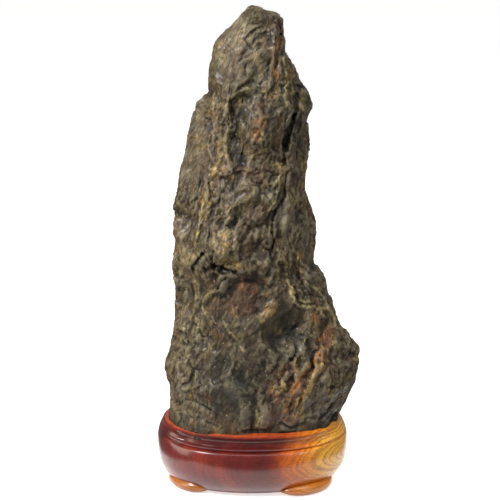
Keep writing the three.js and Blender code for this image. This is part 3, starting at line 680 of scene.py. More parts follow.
def meshObject(name, verts, faces):
    mesh = bpy.data.meshes.new(name)
    mesh.from_pydata([tuple(v) for v in verts], [], faces)
    mesh.validate()
    mesh.update()
    return linkedObject(name, mesh)


def addPointValues(mesh, name, values):
    attribute = mesh.attributes.new(name, "FLOAT", "POINT")
    attribute.data.foreach_set("value", np.asarray(values, dtype=np.float32))


plainGrid = stoneGrid(stoneSettings)
fineGrid = carveDetail(plainGrid, stoneSettings)
stoneVerts, stoneFaces = closedStone(fineGrid, np.array(stoneSettings["apex"]))
stone = meshObject("viewing_stone", toFrame(stoneVerts), stoneFaces)
for polygon in stone.data.polygons:
    polygon.use_smooth = True
print("stone shaped,", len(stoneFaces), "faces")

# Stains on the stone's front: x, height, half width, half height and strength. Of the dark ones some are
# the stone's darker tone and some are painted shade, in the recess, the crevices, under the nose's overhang,
# on the set-back slab at the right and at the bottom right; a few pale and ochre ones are painted highlights
stains = {
    "rust": [
        (7, 284, 5, 6, 0.9), (8, 276, 4, 9, 0.6), (4, 268, 5, 8, 0.8), (17.7, 306, 3.5, 5, 1),
        (20, 325, 3, 14, 0.6), (-1, 158, 12, 8, 0.9), (-6, 146, 14, 12, 0.8), (10, 135, 5, 6, 0.7),
        (34.5, 172, 3.5, 9, 0.9), (46, 131, 4, 4, 0.9), (53, 113, 4, 9, 1.3), (46, 99, 4, 9, 1.3),
        (37, 88, 4, 7, 1.2), (33, 86, 5, 5, 1), (29, 72, 6, 11, 1), (23, 62, 3, 10, 1),
        (-30, 76, 4, 5, 0.6), (16, 90, 8, 8, 0.5), (21, 79, 10, 14, 1.2), (28, 93, 7, 9, 1.0),
        (14, 62, 6, 8, 0.8), (30, 236, 6, 8, 0.4), (2, 240, 12, 4, 0.5), (-24, 262, 4, 16, 0.35),
        (56, 96, 5, 6, 0.5), (4, 210, 8, 10, 0.35),
    ],
    "ochre": [
        (18.7, 297, 3.5, 5, 1), (14, 142, 5, 5, 1.3), (9, 134, 5, 4, 1), (20, 84, 9, 8, 0.55),
        # The ochre patch on the nose, at -15 and 176, is partly a painted highlight
        (-24, 239, 5, 5, 1), (20, 240, 4, 5, 0.9), (-15, 176, 8, 5, 1.5), (-18, 190, 8, 8, 0.7),
        (-2, 221, 5, 4, 0.6), (36, 66, 3, 9, 1), (45, 90, 4, 8, 0.8), (49, 101, 3, 5, 0.9),
        (41, 84, 2.5, 6, 0.9), (54, 107, 2, 5, 0.8), (34, 100, 5, 8, 0.4), (-20, 252, 6, 16, 0.45),
        (-23, 280, 5, 10, 0.4), (7, 263, 4, 6, 0.5), (-33, 215, 4, 14, 0.5), (-43, 176, 4, 8, 0.5),
        (36, 286, 2.5, 7, 0.7), (4, 318, 5, 6, 0.3), (12, 292, 4, 3, 0.6), (-44, 88, 5, 10, 0.3),
    ],
    "pale": [
        (-10, 336, 14, 12, 0.7), (-18, 318, 8, 14, 0.4), (4, 322, 9, 8, 0.5), (6, 302, 7, 5, 0.5),
        (-37, 270, 7, 18, 0.55), (-46, 240, 5, 14, 0.4), (-50, 98, 10, 13, 0.4), (-52, 62, 12, 14, 0.5),
        (60, 112, 4, 4, 0.9), (-45, 168, 7, 30, 0.45), (-48, 128, 4, 9, 0.7), (-35, 118, 4, 5, 0.8),
        # The pale patches on the lens at 26 and 200 and at 9 and 222 are painted highlights
        (62, 96, 14, 16, 0.2), (26, 200, 6, 16, 0.7), (40, 190, 9, 22, 0.5), (12, 64, 5, 10, 0.3),
        (-19, 188, 12, 13, 0.55), (4, 246, 8, 5, 0.3), (9, 222, 9, 4, 0.9), (-14, 206, 6, 9, 0.5),
        (-34, 148, 3, 6, 0.6), (20, 302, 3, 8, 0.4),
    ],
    "dark": [
        (29, 66, 3, 9, 0.8), (50, 96, 2, 9, 0.5), (44, 107, 3, 9, 0.5), (-7, 268, 7, 24, 1),
        (29, 272, 5, 13, 1), (24, 254, 4, 12, 0.8), (38, 264, 8, 30, 0.7), (28, 236, 5, 14, 0.6),
        (19, 214, 3.5, 22, 0.8), (-24, 130, 9, 7, 0.8), (24, 129, 11, 20, 1.1), (17, 112, 8, 16, 1.1),
        (10, 98, 7, 12, 0.9), (62, 54, 7, 9, 1), (-14, 169, 12, 4, 0.9), (-36, 173, 5, 6, 0.8),
        (-19, 160, 5, 6, 0.8), (-14, 84, 26, 32, 1.1), (9, 266, 13, 20, 0.4), (-2, 140, 24, 26, 0.45),
        (2, 108, 22, 16, 0.45), (-2, 290, 8, 4, 0.7), (32, 296, 6, 3, 0.8), (20, 340, 3, 7, 0.3),
        (-42, 148, 3, 16, 0.6), (16, 188, 4, 12, 0.5), (16, 266, 6, 20, 0.4), (-45, 85, 4, 7, 0.7),
        (29, 71, 5, 9, 0.6), (34, 206, 3, 9, 0.6), (1, 66, 3, 14, 0.5),
    ],
    "orange": [
        (8, 274, 3, 5, 0.6), (5, 264, 3, 5, 0.6), (17.5, 305, 2.5, 4, 0.9), (14, 139, 4, 5, 0.9),
        (-2, 157, 8, 5, 0.2), (46, 131, 2.5, 3, 0.7), (33, 85, 3, 3, 0.8), (35, 172, 2, 6, 0.5),
    ],
}
# Stains that have run down a cleft or lie along a crest: half width, strength and path
stainLines = {
    "orange": [
        (1.6, 2, [(56, 121), (52, 113), (47.4, 105), (43, 98), (37, 91), (32, 85)]),
        (1.8, 1.6, [(33, 84), (28, 76), (25, 66)]), (2.2, 1.5, [(52, 108), (48, 95), (42, 86)]),
        (2.2, 1.6, [(38, 80), (35, 68), (33, 57)]), (1, 1, [(60, 118), (57, 107), (52, 99)]),
        (1.2, 0.8, [(19, 330), (17.5, 312), (17, 300)]),
    ],
    "rust": [
        (5.5, 1.6, [(58, 118), (51, 103), (43, 93), (37, 85)]), (3.6, 1.3, [(37, 85), (31, 76), (28, 62)]),
        (2, 0.9, [(20, 344), (19.5, 325), (17, 306), (18, 297)]),
        (2, 0.9, [(33, 178), (36, 164), (34, 150)]),
    ],
    "ochre": [
        (2, 0.7, [(52, 104), (47.7, 93), (39.8, 83.3), (36, 72), (34, 56)]),
        (1.5, 0.8, [(24, 172), (28, 158), (31, 147)]),
    ],
}
# Raised veins of a paler mineral, the same three
veins = [
    (1.2, 1.0, frontPaths["leftLong"]),
    (1.3, 1.0, frontPaths["innerBend"]),
    (1.0, 0.8, frontPaths["innerFork"]),
    (1.4, 0.9, frontPaths["outerBend"]),
    (1.2, 0.9, frontPaths["midCleft"]),
    (1.3, 0.8, [(2.7, 224), (-4.8, 220.2), (-12.3, 216.8), (-15.6, 206.9)]),
    (1.2, 0.8, [(23.9, 318), (23.7, 312), (25.2, 296), (24.7, 288), (28.6, 280)]),
    (1.2, 0.8, frontPaths["hook"]),
    (1.1, 0.6, frontPaths["slant"]),
    (1.5, 0.3, frontPaths["streakRidge"]),
    (1.2, 0.6, [(-15.4, 291), (-15.6, 274), (-16.4, 259), (-16, 247)]),
    (1.1, 0.6, frontPaths["leftLow"]),
    (1.2, 0.6, frontPaths["footRidge"]),
    (1.1, 0.5, [(-3, 296), (4.9, 298), (12.8, 295)]),
    (1.0, 0.5, [(16.8, 330), (15.8, 317.7), (13.8, 308.1), (14.3, 298)]),
]


# How the paint breaks up at its edges, and the stains that lie anywhere on the stone
paintSettings = {
    "seed": stoneSettings["seed"] + 200,
    "stray": ((2.2, 12), (1.2, 4.5)),
    "strayUp": ((2.6, 13), (1.2, 4.5)),
    "ragged": 0.35,
    "raggedVein": 0.25,
    "wildSizes": ((1, (17, 17, 40), 10), (0.5, (6, 6, 13), 20)),    # share, size and seed
    "wild": {"rust": 0.75, "ochre": 0.75, "pale": 0.75, "dark": 0.75, "orange": 0.2},
    "wildVein": 0.6,
    "strongest": 2,
    # Painted shade darkens the stone near its foot, where it sits in the seat: the heights it spans and how
    # dark
    "footShadeHeights": (58, 51),
    "footShade": 0.9,
    "hollows": {"hollowFine": (5, 0.45), "hollowBroad": (60, 2.6)},    # times blurred and depth in mm
}


# A number for every point of the stone for each stain, for the veins and for its hollows and edges
def paintStone(grid, s):
    place = grid.reshape(-1, 3)
    x, y, z = place.T
    front = smoothStep(6, -6, y)
    broken = layeredNoise(place, 9, 3, s["seed"])
    u = x + straying(place, s["stray"], s["seed"] + 1)
    v = z + straying(place, s["strayUp"], s["seed"] + 3)
    values = {}
    for k, (name, patches) in enumerate(stains.items()):
        amount = np.zeros(len(place))
        for centre, height, halfWidth, halfHeight, strength in patches:
            away = np.hypot((u - centre) / halfWidth, (v - height) / halfHeight)
            amount = np.maximum(amount, strength * smoothStep(1.25, 0.45, away + s["ragged"] * broken))
        for half, strength, path in stainLines.get(name, []):
            away = fromPath(path, u, v)[0] / half
            amount = np.maximum(amount, strength * smoothStep(1.2, 0.3, away + s["ragged"] * broken))
        wild = sum(share * noise(place, size, s["seed"] + own + k) for share, size, own in s["wildSizes"])
        wild = s["wild"][name] * smoothStep(0.22, 0.62, wild)
        values[name] = np.clip(amount * front + wild * (1 - 0.6 * front), 0, s["strongest"])
    line = np.zeros(len(place))
    for half, strength, path in veins:
        away = fromPath(path, u, v)[0] / half
        line = np.maximum(line, strength * smoothStep(0.9, 0.2, away + s["raggedVein"] * broken))
    wildVein = smoothStep(0.035, 0.01, np.abs(noise(place, (15, 15, 60), s["seed"] + 30)))
    wildVein = s["wildVein"] * wildVein * smoothStep(0.0, 0.3, noise(place, 30, s["seed"] + 31))
    values["vein"] = np.clip(line * front + wildVein * (1 - 0.5 * front), 0, 1)
    # Painted shade near the foot, where the stone meets the stand
    values["dark"] = np.maximum(values["dark"], s["footShade"] * smoothStep(*s["footShadeHeights"], z + 2 * broken))
    normal = gridNormals(grid)
    for name, (times, depth) in s["hollows"].items():
        hollow = np.sum((blurGrid(grid, times) - grid) * normal, axis=2) / depth
        hollow[:3], hollow[-4:] = 0, 0
        values[name] = np.clip(hollow.ravel(), -1, 1)
    columns = grid.shape[1]
    return {name: np.append(v, [v[:columns].mean(), v[-columns:].mean()]) for name, v in values.items()}


for name, value in paintStone(fineGrid, paintSettings).items():
    addPointValues(stone.data, name, value)


# Lays colours of c over the first one, each as far as its value has got from low to high, up to most and
# no further than its masks allow
def layColours(tree, colour, c, layers, curve="LINEAR"):
    for name, value, low, high, most, *masks in layers:
        amount = addNode(tree, "ShaderNodeMapRange", {
            "Value": value, "From Min": low, "From Max": high, "To Max": most},
            interpolation_type=curve).outputs[0]
        for mask in masks:
            amount = addNode(tree, "ShaderNodeMath", {0: amount, 1: mask}, operation="MULTIPLY").outputs[0]
        colour = addNode(tree, "ShaderNodeMix", {0: amount, 6: colour, 7: linearColour(c[name])},
                         data_type="RGBA").outputs[2]
    return colour


# Multiplies the colour by shades: each is a value, where it starts and ends, and the shade at both
def shadeColour(tree, colour, shades):
    for value, low, high, first, last in shades:
        shade = addNode(tree, "ShaderNodeMapRange", {
            "Value": value, "From Min": low, "From Max": high, "To Min": first, "To Max": last}).outputs[0]
        colour = addNode(tree, "ShaderNodeMix", {0: 1.0, 6: colour, 7: shade},
                         data_type="RGBA", blend_type="MULTIPLY").outputs[2]
    return colour


def emptyMaterial(name):
    material = bpy.data.materials.new(name)
    material.use_nodes = True
    material.node_tree.nodes.clear()
    return material, material.node_tree


# Oiled river stone: weathered and foliated, silky where hands have rubbed it, dull in its hollows
stoneFinish = {
    "ground": "#5b4b2e",
    "groundDark": "#31281a",
    "groundLight": "#91804e",
    "olive": "#4b4c26",
    "brown": "#583d28",
    "rust": "#5c321c",
    "orange": "#aa6c2a",
    "ochre": "#9c7f42",
    "pale": "#92886c",
    # The dark colour is both the stone's darker tone and painted shade in its recesses, under overhangs and
    # at its foot
    "dark": "#25210e",
    # The crack colour is painted shade, laid darkest in the deepest hollows
    "crack": "#0e0b07",
    "vein": "#ab9a62",
    # Pale grains of mineral, which also stand in for painted glints
    "quartzGlint": "#bdb498",
    "roughness": (0.24, 0.5),
    "dullInDark": 0.28,
    # How strongly each stain shows, and how much it breaks up along the mottling
    "stains": {"pale": (0.75, 3), "dark": (0.95, 1.5), "rust": (0.9, 3.5), "orange": (0.9, 4),
               "ochre": (0.8, 6), "vein": (0.9, 3)},
}


def stoneMaterial(c):
    material, tree = emptyMaterial("oiled_foliated_stone")
    sums = "ShaderNodeMath"
    vectors = "ShaderNodeVectorMath"
    place = addNode(tree, "ShaderNodeTexCoord").outputs["Object"]
    tall = addNode(tree, "ShaderNodeMapping", {"Vector": place, "Scale": (1, 1, 0.4)}).outputs[0]
    leaning = addNode(tree, "ShaderNodeMapping", {
        "Vector": place, "Rotation": (0, 0.55, 0), "Scale": (1, 1, 2.4)}, vector_type="TEXTURE").outputs[0]
    reads = {name: addNode(tree, "ShaderNodeAttribute", attribute_name=name).outputs["Fac"]
             for name in (*c["stains"], "hollowFine", "hollowBroad")}
    # Streaks 8 mm across and 20 mm tall, patches of 12 mm, mottling of 2 to 3 mm, grain of about 1 mm
    streaks, patches, mottle, grain = (
        addNode(tree, "ShaderNodeTexNoise", {
            "Vector": vector, "Scale": scale, "Detail": detail, "Roughness": rough}).outputs["Fac"]
        for vector, scale, detail, rough in (
            (tall, 125, 5, 0.65), (tall, 85, 5, 0.7), (leaning, 420, 4, 0.7), (leaning, 850, 2, 0.6)))
    # Small split faces, 3 mm by 7 mm, each tilted and shaded its own way
    faces = addNode(tree, "ShaderNodeTexVoronoi", {"Vector": leaning, "Scale": 360}).outputs
    within = addNode(tree, vectors, {0: leaning, 1: faces["Position"]}, operation="SUBTRACT").outputs[0]
    tilt = addNode(tree, vectors, {0: faces["Color"], 1: (0.5, 0.5, 0.5)}, operation="SUBTRACT").outputs[0]
    rise = addNode(tree, vectors, {0: within, 1: tilt}, operation="DOT_PRODUCT").outputs["Value"]
    split = addNode(tree, "ShaderNodeSeparateColor", {"Color": faces["Color"]}).outputs
    # The ground, and the browner ones of the small faces
    colour = layColours(tree, linearColour(c["groundDark"]), c, (
        ("ground", streaks, 0.38, 0.62, 1.0), ("brown", patches, 0.52, 0.68, 0.7),
        ("olive", patches, 0.46, 0.32, 0.7), ("groundLight", mottle, 0.52, 0.74, 0.85),
        ("brown", split[2], 0.55, 0.95, 0.45)))
    # Each stain breaks up along the mottling instead of ending in a line
    for name, (strength, broken) in c["stains"].items():
        uneven = addNode(tree, sums, {0: mottle, 1: broken, 2: 0.6 - 0.5 * broken},
                         operation="MULTIPLY_ADD", use_clamp=True).outputs[0]
        amount = addNode(tree, sums, {0: reads[name], 1: uneven}, operation="MULTIPLY").outputs[0]
        colour = layColours(tree, colour, c, ((name, amount, 0, 1 / (1.4 * strength), 1.0),))
    colour = shadeColour(tree, colour, (
        (mottle, 0.3, 0.6, 0.7, 1.1), (grain, 0.3, 0.7, 0.6, 1.4), (split[0], 0, 1, 0.72, 1.22)))
    # Painted shade darkens the hollows and a painted highlight lightens the edges, and here and there a pale
    # mineral grain shows, a millimetre across, which also stands in for a painted glint
    grains = addNode(tree, "ShaderNodeTexVoronoi", {"Vector": place, "Scale": 800}).outputs
    chosen = addNode(tree, "ShaderNodeSeparateColor", {"Color": grains["Color"]}).outputs[1]
    small = addNode(tree, "ShaderNodeMapRange", {
        "Value": grains["Distance"], "From Min": 0.4, "From Max": 0.28, "To Max": 0.7}).outputs[0]
    colour = layColours(tree, colour, c, (
        ("crack", reads["hollowBroad"], 0.2, 1.0, 0.8), ("crack", reads["hollowFine"], 0.2, 1.0, 0.65),
        ("pale", reads["hollowFine"], -0.15, -0.9, 0.4), ("quartzGlint", chosen, 0.985, 0.995, 1.0, small)))
    silky, dull = c["roughness"]
    gloss = addNode(tree, "ShaderNodeMapRange", {
        "Value": mottle, "From Min": 0.35, "From Max": 0.7, "To Min": silky, "To Max": dull}).outputs[0]
    gloss = addNode(tree, sums, {0: reads["dark"], 1: c["dullInDark"], 2: gloss},
                    operation="MULTIPLY_ADD").outputs[0]
    bump = None
    for height, strength, distance in ((mottle, 0.9, 0.002), (grain, 0.7, 0.0007), (rise, 0.6, 1.0)):
        under = {"Normal": bump} if bump else {}
        bump = addNode(tree, "ShaderNodeBump", {
            "Height": height, "Strength": strength, "Distance": distance, **under}).outputs[0]
    surface = addNode(tree, "ShaderNodeBsdfPrincipled", {
        "Base Color": colour, "Roughness": gloss, "Normal": bump,
        "IOR": 1.48, "Specular IOR Level": 0.5, "Coat Weight": 0.25, "Coat Roughness": 0.24, "Coat IOR": 1.5})
    addNode(tree, "ShaderNodeOutputMaterial", {"Surface": surface.outputs[0]})
    return material


stone.data.materials.append(stoneMaterial(stoneFinish))
print("stone painted")


# The stand
standSettings = {
    "rimHalfWidth": 66.3,
    "rimHalfDepthFront": 45.0,
    "rimHalfDepthBack": 53.0,
    "rimCentreX": 1.2,
    "fullnessFront": 2.02,
    "fullnessBack": 2.3,
    "bulgeToTheRight": 0.5,
    "columns": 240,
    "footColumns": 40,
    "carvedUneven": 0.5,
    "seatGap": 0.5,
    "seatTop": 60,
    "seatStep": 3,           # the seat is cut by every third row and column of the stone
    "seatCap": 4,
    "arcSteps": 4,
    "footArcSteps": 3,
    "sharpAngle": 0.7,
}

# Its section from the middle of the underside up: distance outside the rim's edge and height, the
# same two at the stand's ends, and 1 where the carver left a corner
standSection = [
    (-30, 2.8, -30, 2.8, 0), (-8, 2.8, -8, 2.8, 0), (-4.2, 5.2, -4.6, 5.2, 0), (-0.4, 10, -1, 10, 0),
    (2.4, 16, 2, 16, 0), (3.7, 22.5, 3.6, 23, 0), (4, 29, 4.2, 30, 0), (3, 34.4, 4, 36, 0),
    (1.6, 36.1, 3.6, 38.2, 0), (-0.3, 36.6, 3.4, 39, 1), (0.9, 38.4, 3, 41, 0), (-1.6, 40, 2.3, 42.6, 1),
    (-2.3, 43, 1.6, 44.2, 0), (-1.3, 45.6, 0.8, 45.8, 1), (0, 46.8, 0, 47.2, 1),
    (-3.6, 48.6, -3.2, 49.2, 0), (-7, 49.5, -7, 50, 0), (-10, 49.7, -10, 50, 0), (-30, 49.7, -30, 50, 0),
]

# A foot's section, a closed loop, from its sole round its outer face: the same five numbers
footSection = [
    (-13, 0, -9, 4, 0), (-4, 0, -9, 4, 1), (-1.4, 1.2, -9, 4, 0), (-0.2, 3.6, -9, 4, 0),
    (-0.5, 6.2, -9, 4, 0), (-1.6, 7.6, -9, 4, 1), (-3.4, 8.6, -9, 4, 0), (-13, 8.6, -9, 4, 1),
    (-13, 0, -9, 4, 1),
]
feet = [
    {"from": 176, "to": 240, "side": 0.6, "end": -3.2},
    {"from": 289, "to": 356, "side": 3.4, "end": -5.0},
    {"from": 10, "to": 70, "side": -1.6, "end": -5.0},
    {"from": 114, "to": 169, "side": -1.6, "end": -5.0},
]


# A section's stations joined by smooth arcs between its corners
def smoothSection(stations, steps):
    stations = np.array(stations, dtype=float)
    corners = [0] + [i for i in range(1, len(stations) - 1) if stations[i, 4]] + [len(stations) - 1]
    out = []
    for first, last in zip(corners[:-1], corners[1:]):
        part = stations[first:last + 1, :4]
        padded = np.concatenate([[2 * part[0] - part[1]], part, [2 * part[-1] - part[-2]]])
        for i in range(1, len(padded) - 2):
            p0, p1, p2, p3 = padded[i - 1:i + 3]
            for t in np.arange(steps) / steps:
                out.append(0.5 * (2 * p1 + (p2 - p0) * t + (2 * p0 - 5 * p1 + 4 * p2 - p3) * t ** 2
                                  + (3 * p1 - p0 - 3 * p2 + p3) * t ** 3))
    out.append(stations[-1, :4])
    return np.array(out)


# The tree sweeps the section, held as points with four values, round the stand's oval plan
def sweepTree():
    tree = bpy.data.node_groups.new("sweep_section", "GeometryNodeTree")
    tree.interface.new_socket(name="Geometry", in_out="INPUT", socket_type="NodeSocketGeometry")
    for name in ("From", "To", "Half Width", "Depth Front", "Depth Back", "Centre X", "Fullness Front",
                 "Fullness Back", "Bulge Right", "Side Offset", "End Offset", "Foot Taper", "Uneven"):
        tree.interface.new_socket(name=name, in_out="INPUT", socket_type="NodeSocketFloat")
    for name in ("Columns", "Stations"):
        tree.interface.new_socket(name=name, in_out="INPUT", socket_type="NodeSocketInt")
    tree.interface.new_socket(name="Material", in_out="INPUT", socket_type="NodeSocketMaterial")
    tree.interface.new_socket(name="Geometry", in_out="OUTPUT", socket_type="NodeSocketGeometry")
    given = addNode(tree, "NodeGroupInput").outputs
    known = {socket.name: socket for socket in given if socket.name}
    known["index"] = addNode(tree, "GeometryNodeInputIndex").outputs[0]

    # Each row names a sum, its operation and its terms, which are numbers or named before. A mix has the
    # share first, a step goes smoothly from 0 to 1 between its two numbers.
    def addSums(rows):
        for name, operation, *terms in rows:
            terms = [known[term] if isinstance(term, str) else term for term in terms]
            if operation == "MIX":
                node = addNode(tree, "ShaderNodeMix", dict(zip((0, 2, 3), terms)))
            elif operation == "STEP":
                sockets = ("Value", "From Min", "From Max")
                node = addNode(tree, "ShaderNodeMapRange", dict(zip(sockets, terms)),
                               interpolation_type="SMOOTHSTEP")
            else:
                node = addNode(tree, "ShaderNodeMath", dict(enumerate(terms)), operation=operation)
            known[name] = node.outputs[0]

    addSums((
        ("half", "ADD", "index", 0.5), ("column", "DIVIDE", "half", "Stations"),
        ("column", "FLOOR", "column"),
        ("station", "MODULO", "index", "Stations"), ("last", "SUBTRACT", "Columns", 1.0),
        ("t", "DIVIDE", "column", "last"),
    ))
    known["degrees"] = addNode(tree, "ShaderNodeMapRange", {
        "Value": known["t"], "To Min": given["From"], "To Max": given["To"]}).outputs[0]
    addSums((
        ("angle", "RADIANS", "degrees"), ("cosine", "COSINE", "angle"), ("sine", "SINE", "angle"),
        ("inFront", "LESS_THAN", "sine", 0.0),
        ("fullness", "MIX", "inFront", "Fullness Back", "Fullness Front"),
        ("depth", "MIX", "inFront", "Depth Back", "Depth Front"), ("power", "DIVIDE", 2.0, "fullness"),
        ("absCosine", "ABSOLUTE", "cosine"), ("raised", "POWER", "absCosine", "power"),
        ("sign", "SIGN", "cosine"), ("across", "MULTIPLY", "raised", "sign"),
        ("absSine", "ABSOLUTE", "sine"), ("raised", "POWER", "absSine", "power"),
        ("sign", "SIGN", "sine"), ("deep", "MULTIPLY", "raised", "sign"),
    ))
    # The section changes towards the stand's ends, and a foot's shrinks to a point at its own ends
    addSums((
        ("nearEnd", "STEP", "absCosine", 0.7, 0.97), ("centred", "MULTIPLY_ADD", "t", 2.0, -1.0),
        ("centred", "ABSOLUTE", "centred"), ("pinch", "POWER", "centred", 5.0),
        ("blend", "MIX", "Foot Taper", "nearEnd", "pinch"), ("towardsSide", "STEP", "absSine", 0.05, 0.8),
        ("offset", "MIX", "towardsSide", "End Offset", "Side Offset"),
    ))
    for name in ("outside", "height", "outsideAtEnd", "heightAtEnd"):
        value = addNode(tree, "GeometryNodeInputNamedAttribute", {"Name": name}, data_type="FLOAT").outputs[0]
        known[name] = addNode(tree, "GeometryNodeSampleIndex", {
            "Geometry": given["Geometry"], "Value": value, "Index": known["station"]},
            data_type="FLOAT").outputs[0]
    # A knife leaves the faces a little uneven
    flat = addNode(tree, "ShaderNodeCombineXYZ", {
        "X": known["across"], "Y": known["deep"], "Z": 0.0}).outputs[0]
    known["noise"] = addNode(tree, "ShaderNodeTexNoise", {
        "Vector": flat, "Scale": 5.0, "Detail": 2.0}).outputs["Fac"]
    addSums((
        ("outside", "MIX", "blend", "outside", "outsideAtEnd"),
        ("height", "MIX", "blend", "height", "heightAtEnd"),
        ("outside", "ADD", "outside", "offset"), ("wobble", "ADD", "noise", -0.5),
        ("wobble", "MULTIPLY", "wobble", "Uneven"), ("outside", "ADD", "outside", "wobble"),
        ("proud", "ADD", "outside", 0.5), ("proud", "MAXIMUM", "proud", 0.0),
        ("proud", "MINIMUM", "proud", 1.0),
        ("bulge", "MULTIPLY", "proud", "Bulge Right"), ("bulge", "MULTIPLY", "bulge", "across"),
        ("reachX", "ADD", "Half Width", "outside"), ("reachX", "ADD", "reachX", "bulge"),
        ("reachY", "ADD", "depth", "outside"), ("x", "MULTIPLY_ADD", "reachX", "across", "Centre X"),
        ("y", "MULTIPLY", "reachY", "deep"),
    ))
    grid = addNode(tree, "GeometryNodeMeshGrid", {
        "Vertices X": given["Columns"], "Vertices Y": given["Stations"]})
    spot = addNode(tree, "ShaderNodeCombineXYZ", {"X": known["x"], "Y": known["y"], "Z": known["height"]})
    moved = addNode(tree, "GeometryNodeSetPosition", {
        "Geometry": grid.outputs["Mesh"], "Position": spot.outputs[0]})
    merged = addNode(tree, "GeometryNodeMergeByDistance", {"Geometry": moved.outputs[0], "Distance": 0.0002})
    real = addNode(tree, "GeometryNodeRealizeInstances", {"Geometry": merged.outputs[0]})
    finished = addNode(tree, "GeometryNodeSetMaterial", {
        "Geometry": real.outputs[0], "Material": given["Material"]})
    addNode(tree, "NodeGroupOutput", {0: finished.outputs[0]})
    return tree


def sweptMesh(name, tree, section, material, values):
    mesh = bpy.data.meshes.new(name)
    mesh.from_pydata([(k, 0, 0) for k in range(len(section))], [], [])
    for column, key in enumerate(("outside", "height", "outsideAtEnd", "heightAtEnd")):
        addPointValues(mesh, key, section[:, column])
    thing = linkedObject(name, mesh)
    modifier = thing.modifiers.new("sweep", "NODES")
    modifier.node_group = tree
    values = {**values, "Stations": len(section), "Material": material}
    for item in tree.interface.items_tree:
        if item.in_out == "INPUT" and item.name in values:
            modifier[item.identifier] = values[item.name]
    evaluated = thing.evaluated_get(bpy.context.evaluated_depsgraph_get())
    result = bpy.data.meshes.new_from_object(evaluated)
    bpy.data.objects.remove(thing)
    return result


# Lacquered hardwood: red-brown heartwood and orange sapwood under a clear, glossy coat
woodFinish = {
    "heart": "#70201a",
    "heartDark": "#501a1c",
    "ember": "#a33a1c",
    "glow": "#b04719",
    "amber": "#d06a1e",
    "sap": "#e28826",
    "sapLight": "#f4b23f",
    "lateWood": "#b4581a",
    # The rim colour is lighter end grain and also painted light from above; the cove colour is painted shade
    # under the rim
    "rim": "#b04a1e",
    "coveShade": "#481311",
    "ringCentre": (68.0, -5.0, 26.0),
    "ringSpacing": 6.0,
    "ringWaver": 22.0,
    "colourWaver": 18.0,
    "coveHeights": (0.0385, 0.0458),        # this one and the next three are in metres
    "rimHeights": (0.0472, 0.0479),
    "rimRiseAtLeft": 0.0014,
    "leftEnd": (-0.06, -0.072),
    "roughness": 0.32,
}
footFinish = {
    **woodFinish, "heart": "#ac6620", "heartDark": "#8c4c1a", "ember": "#b2641f", "glow": "#b06820",
    "amber": "#bc7426", "rim": "#bc7426", "coveShade": "#5a2c18",
}


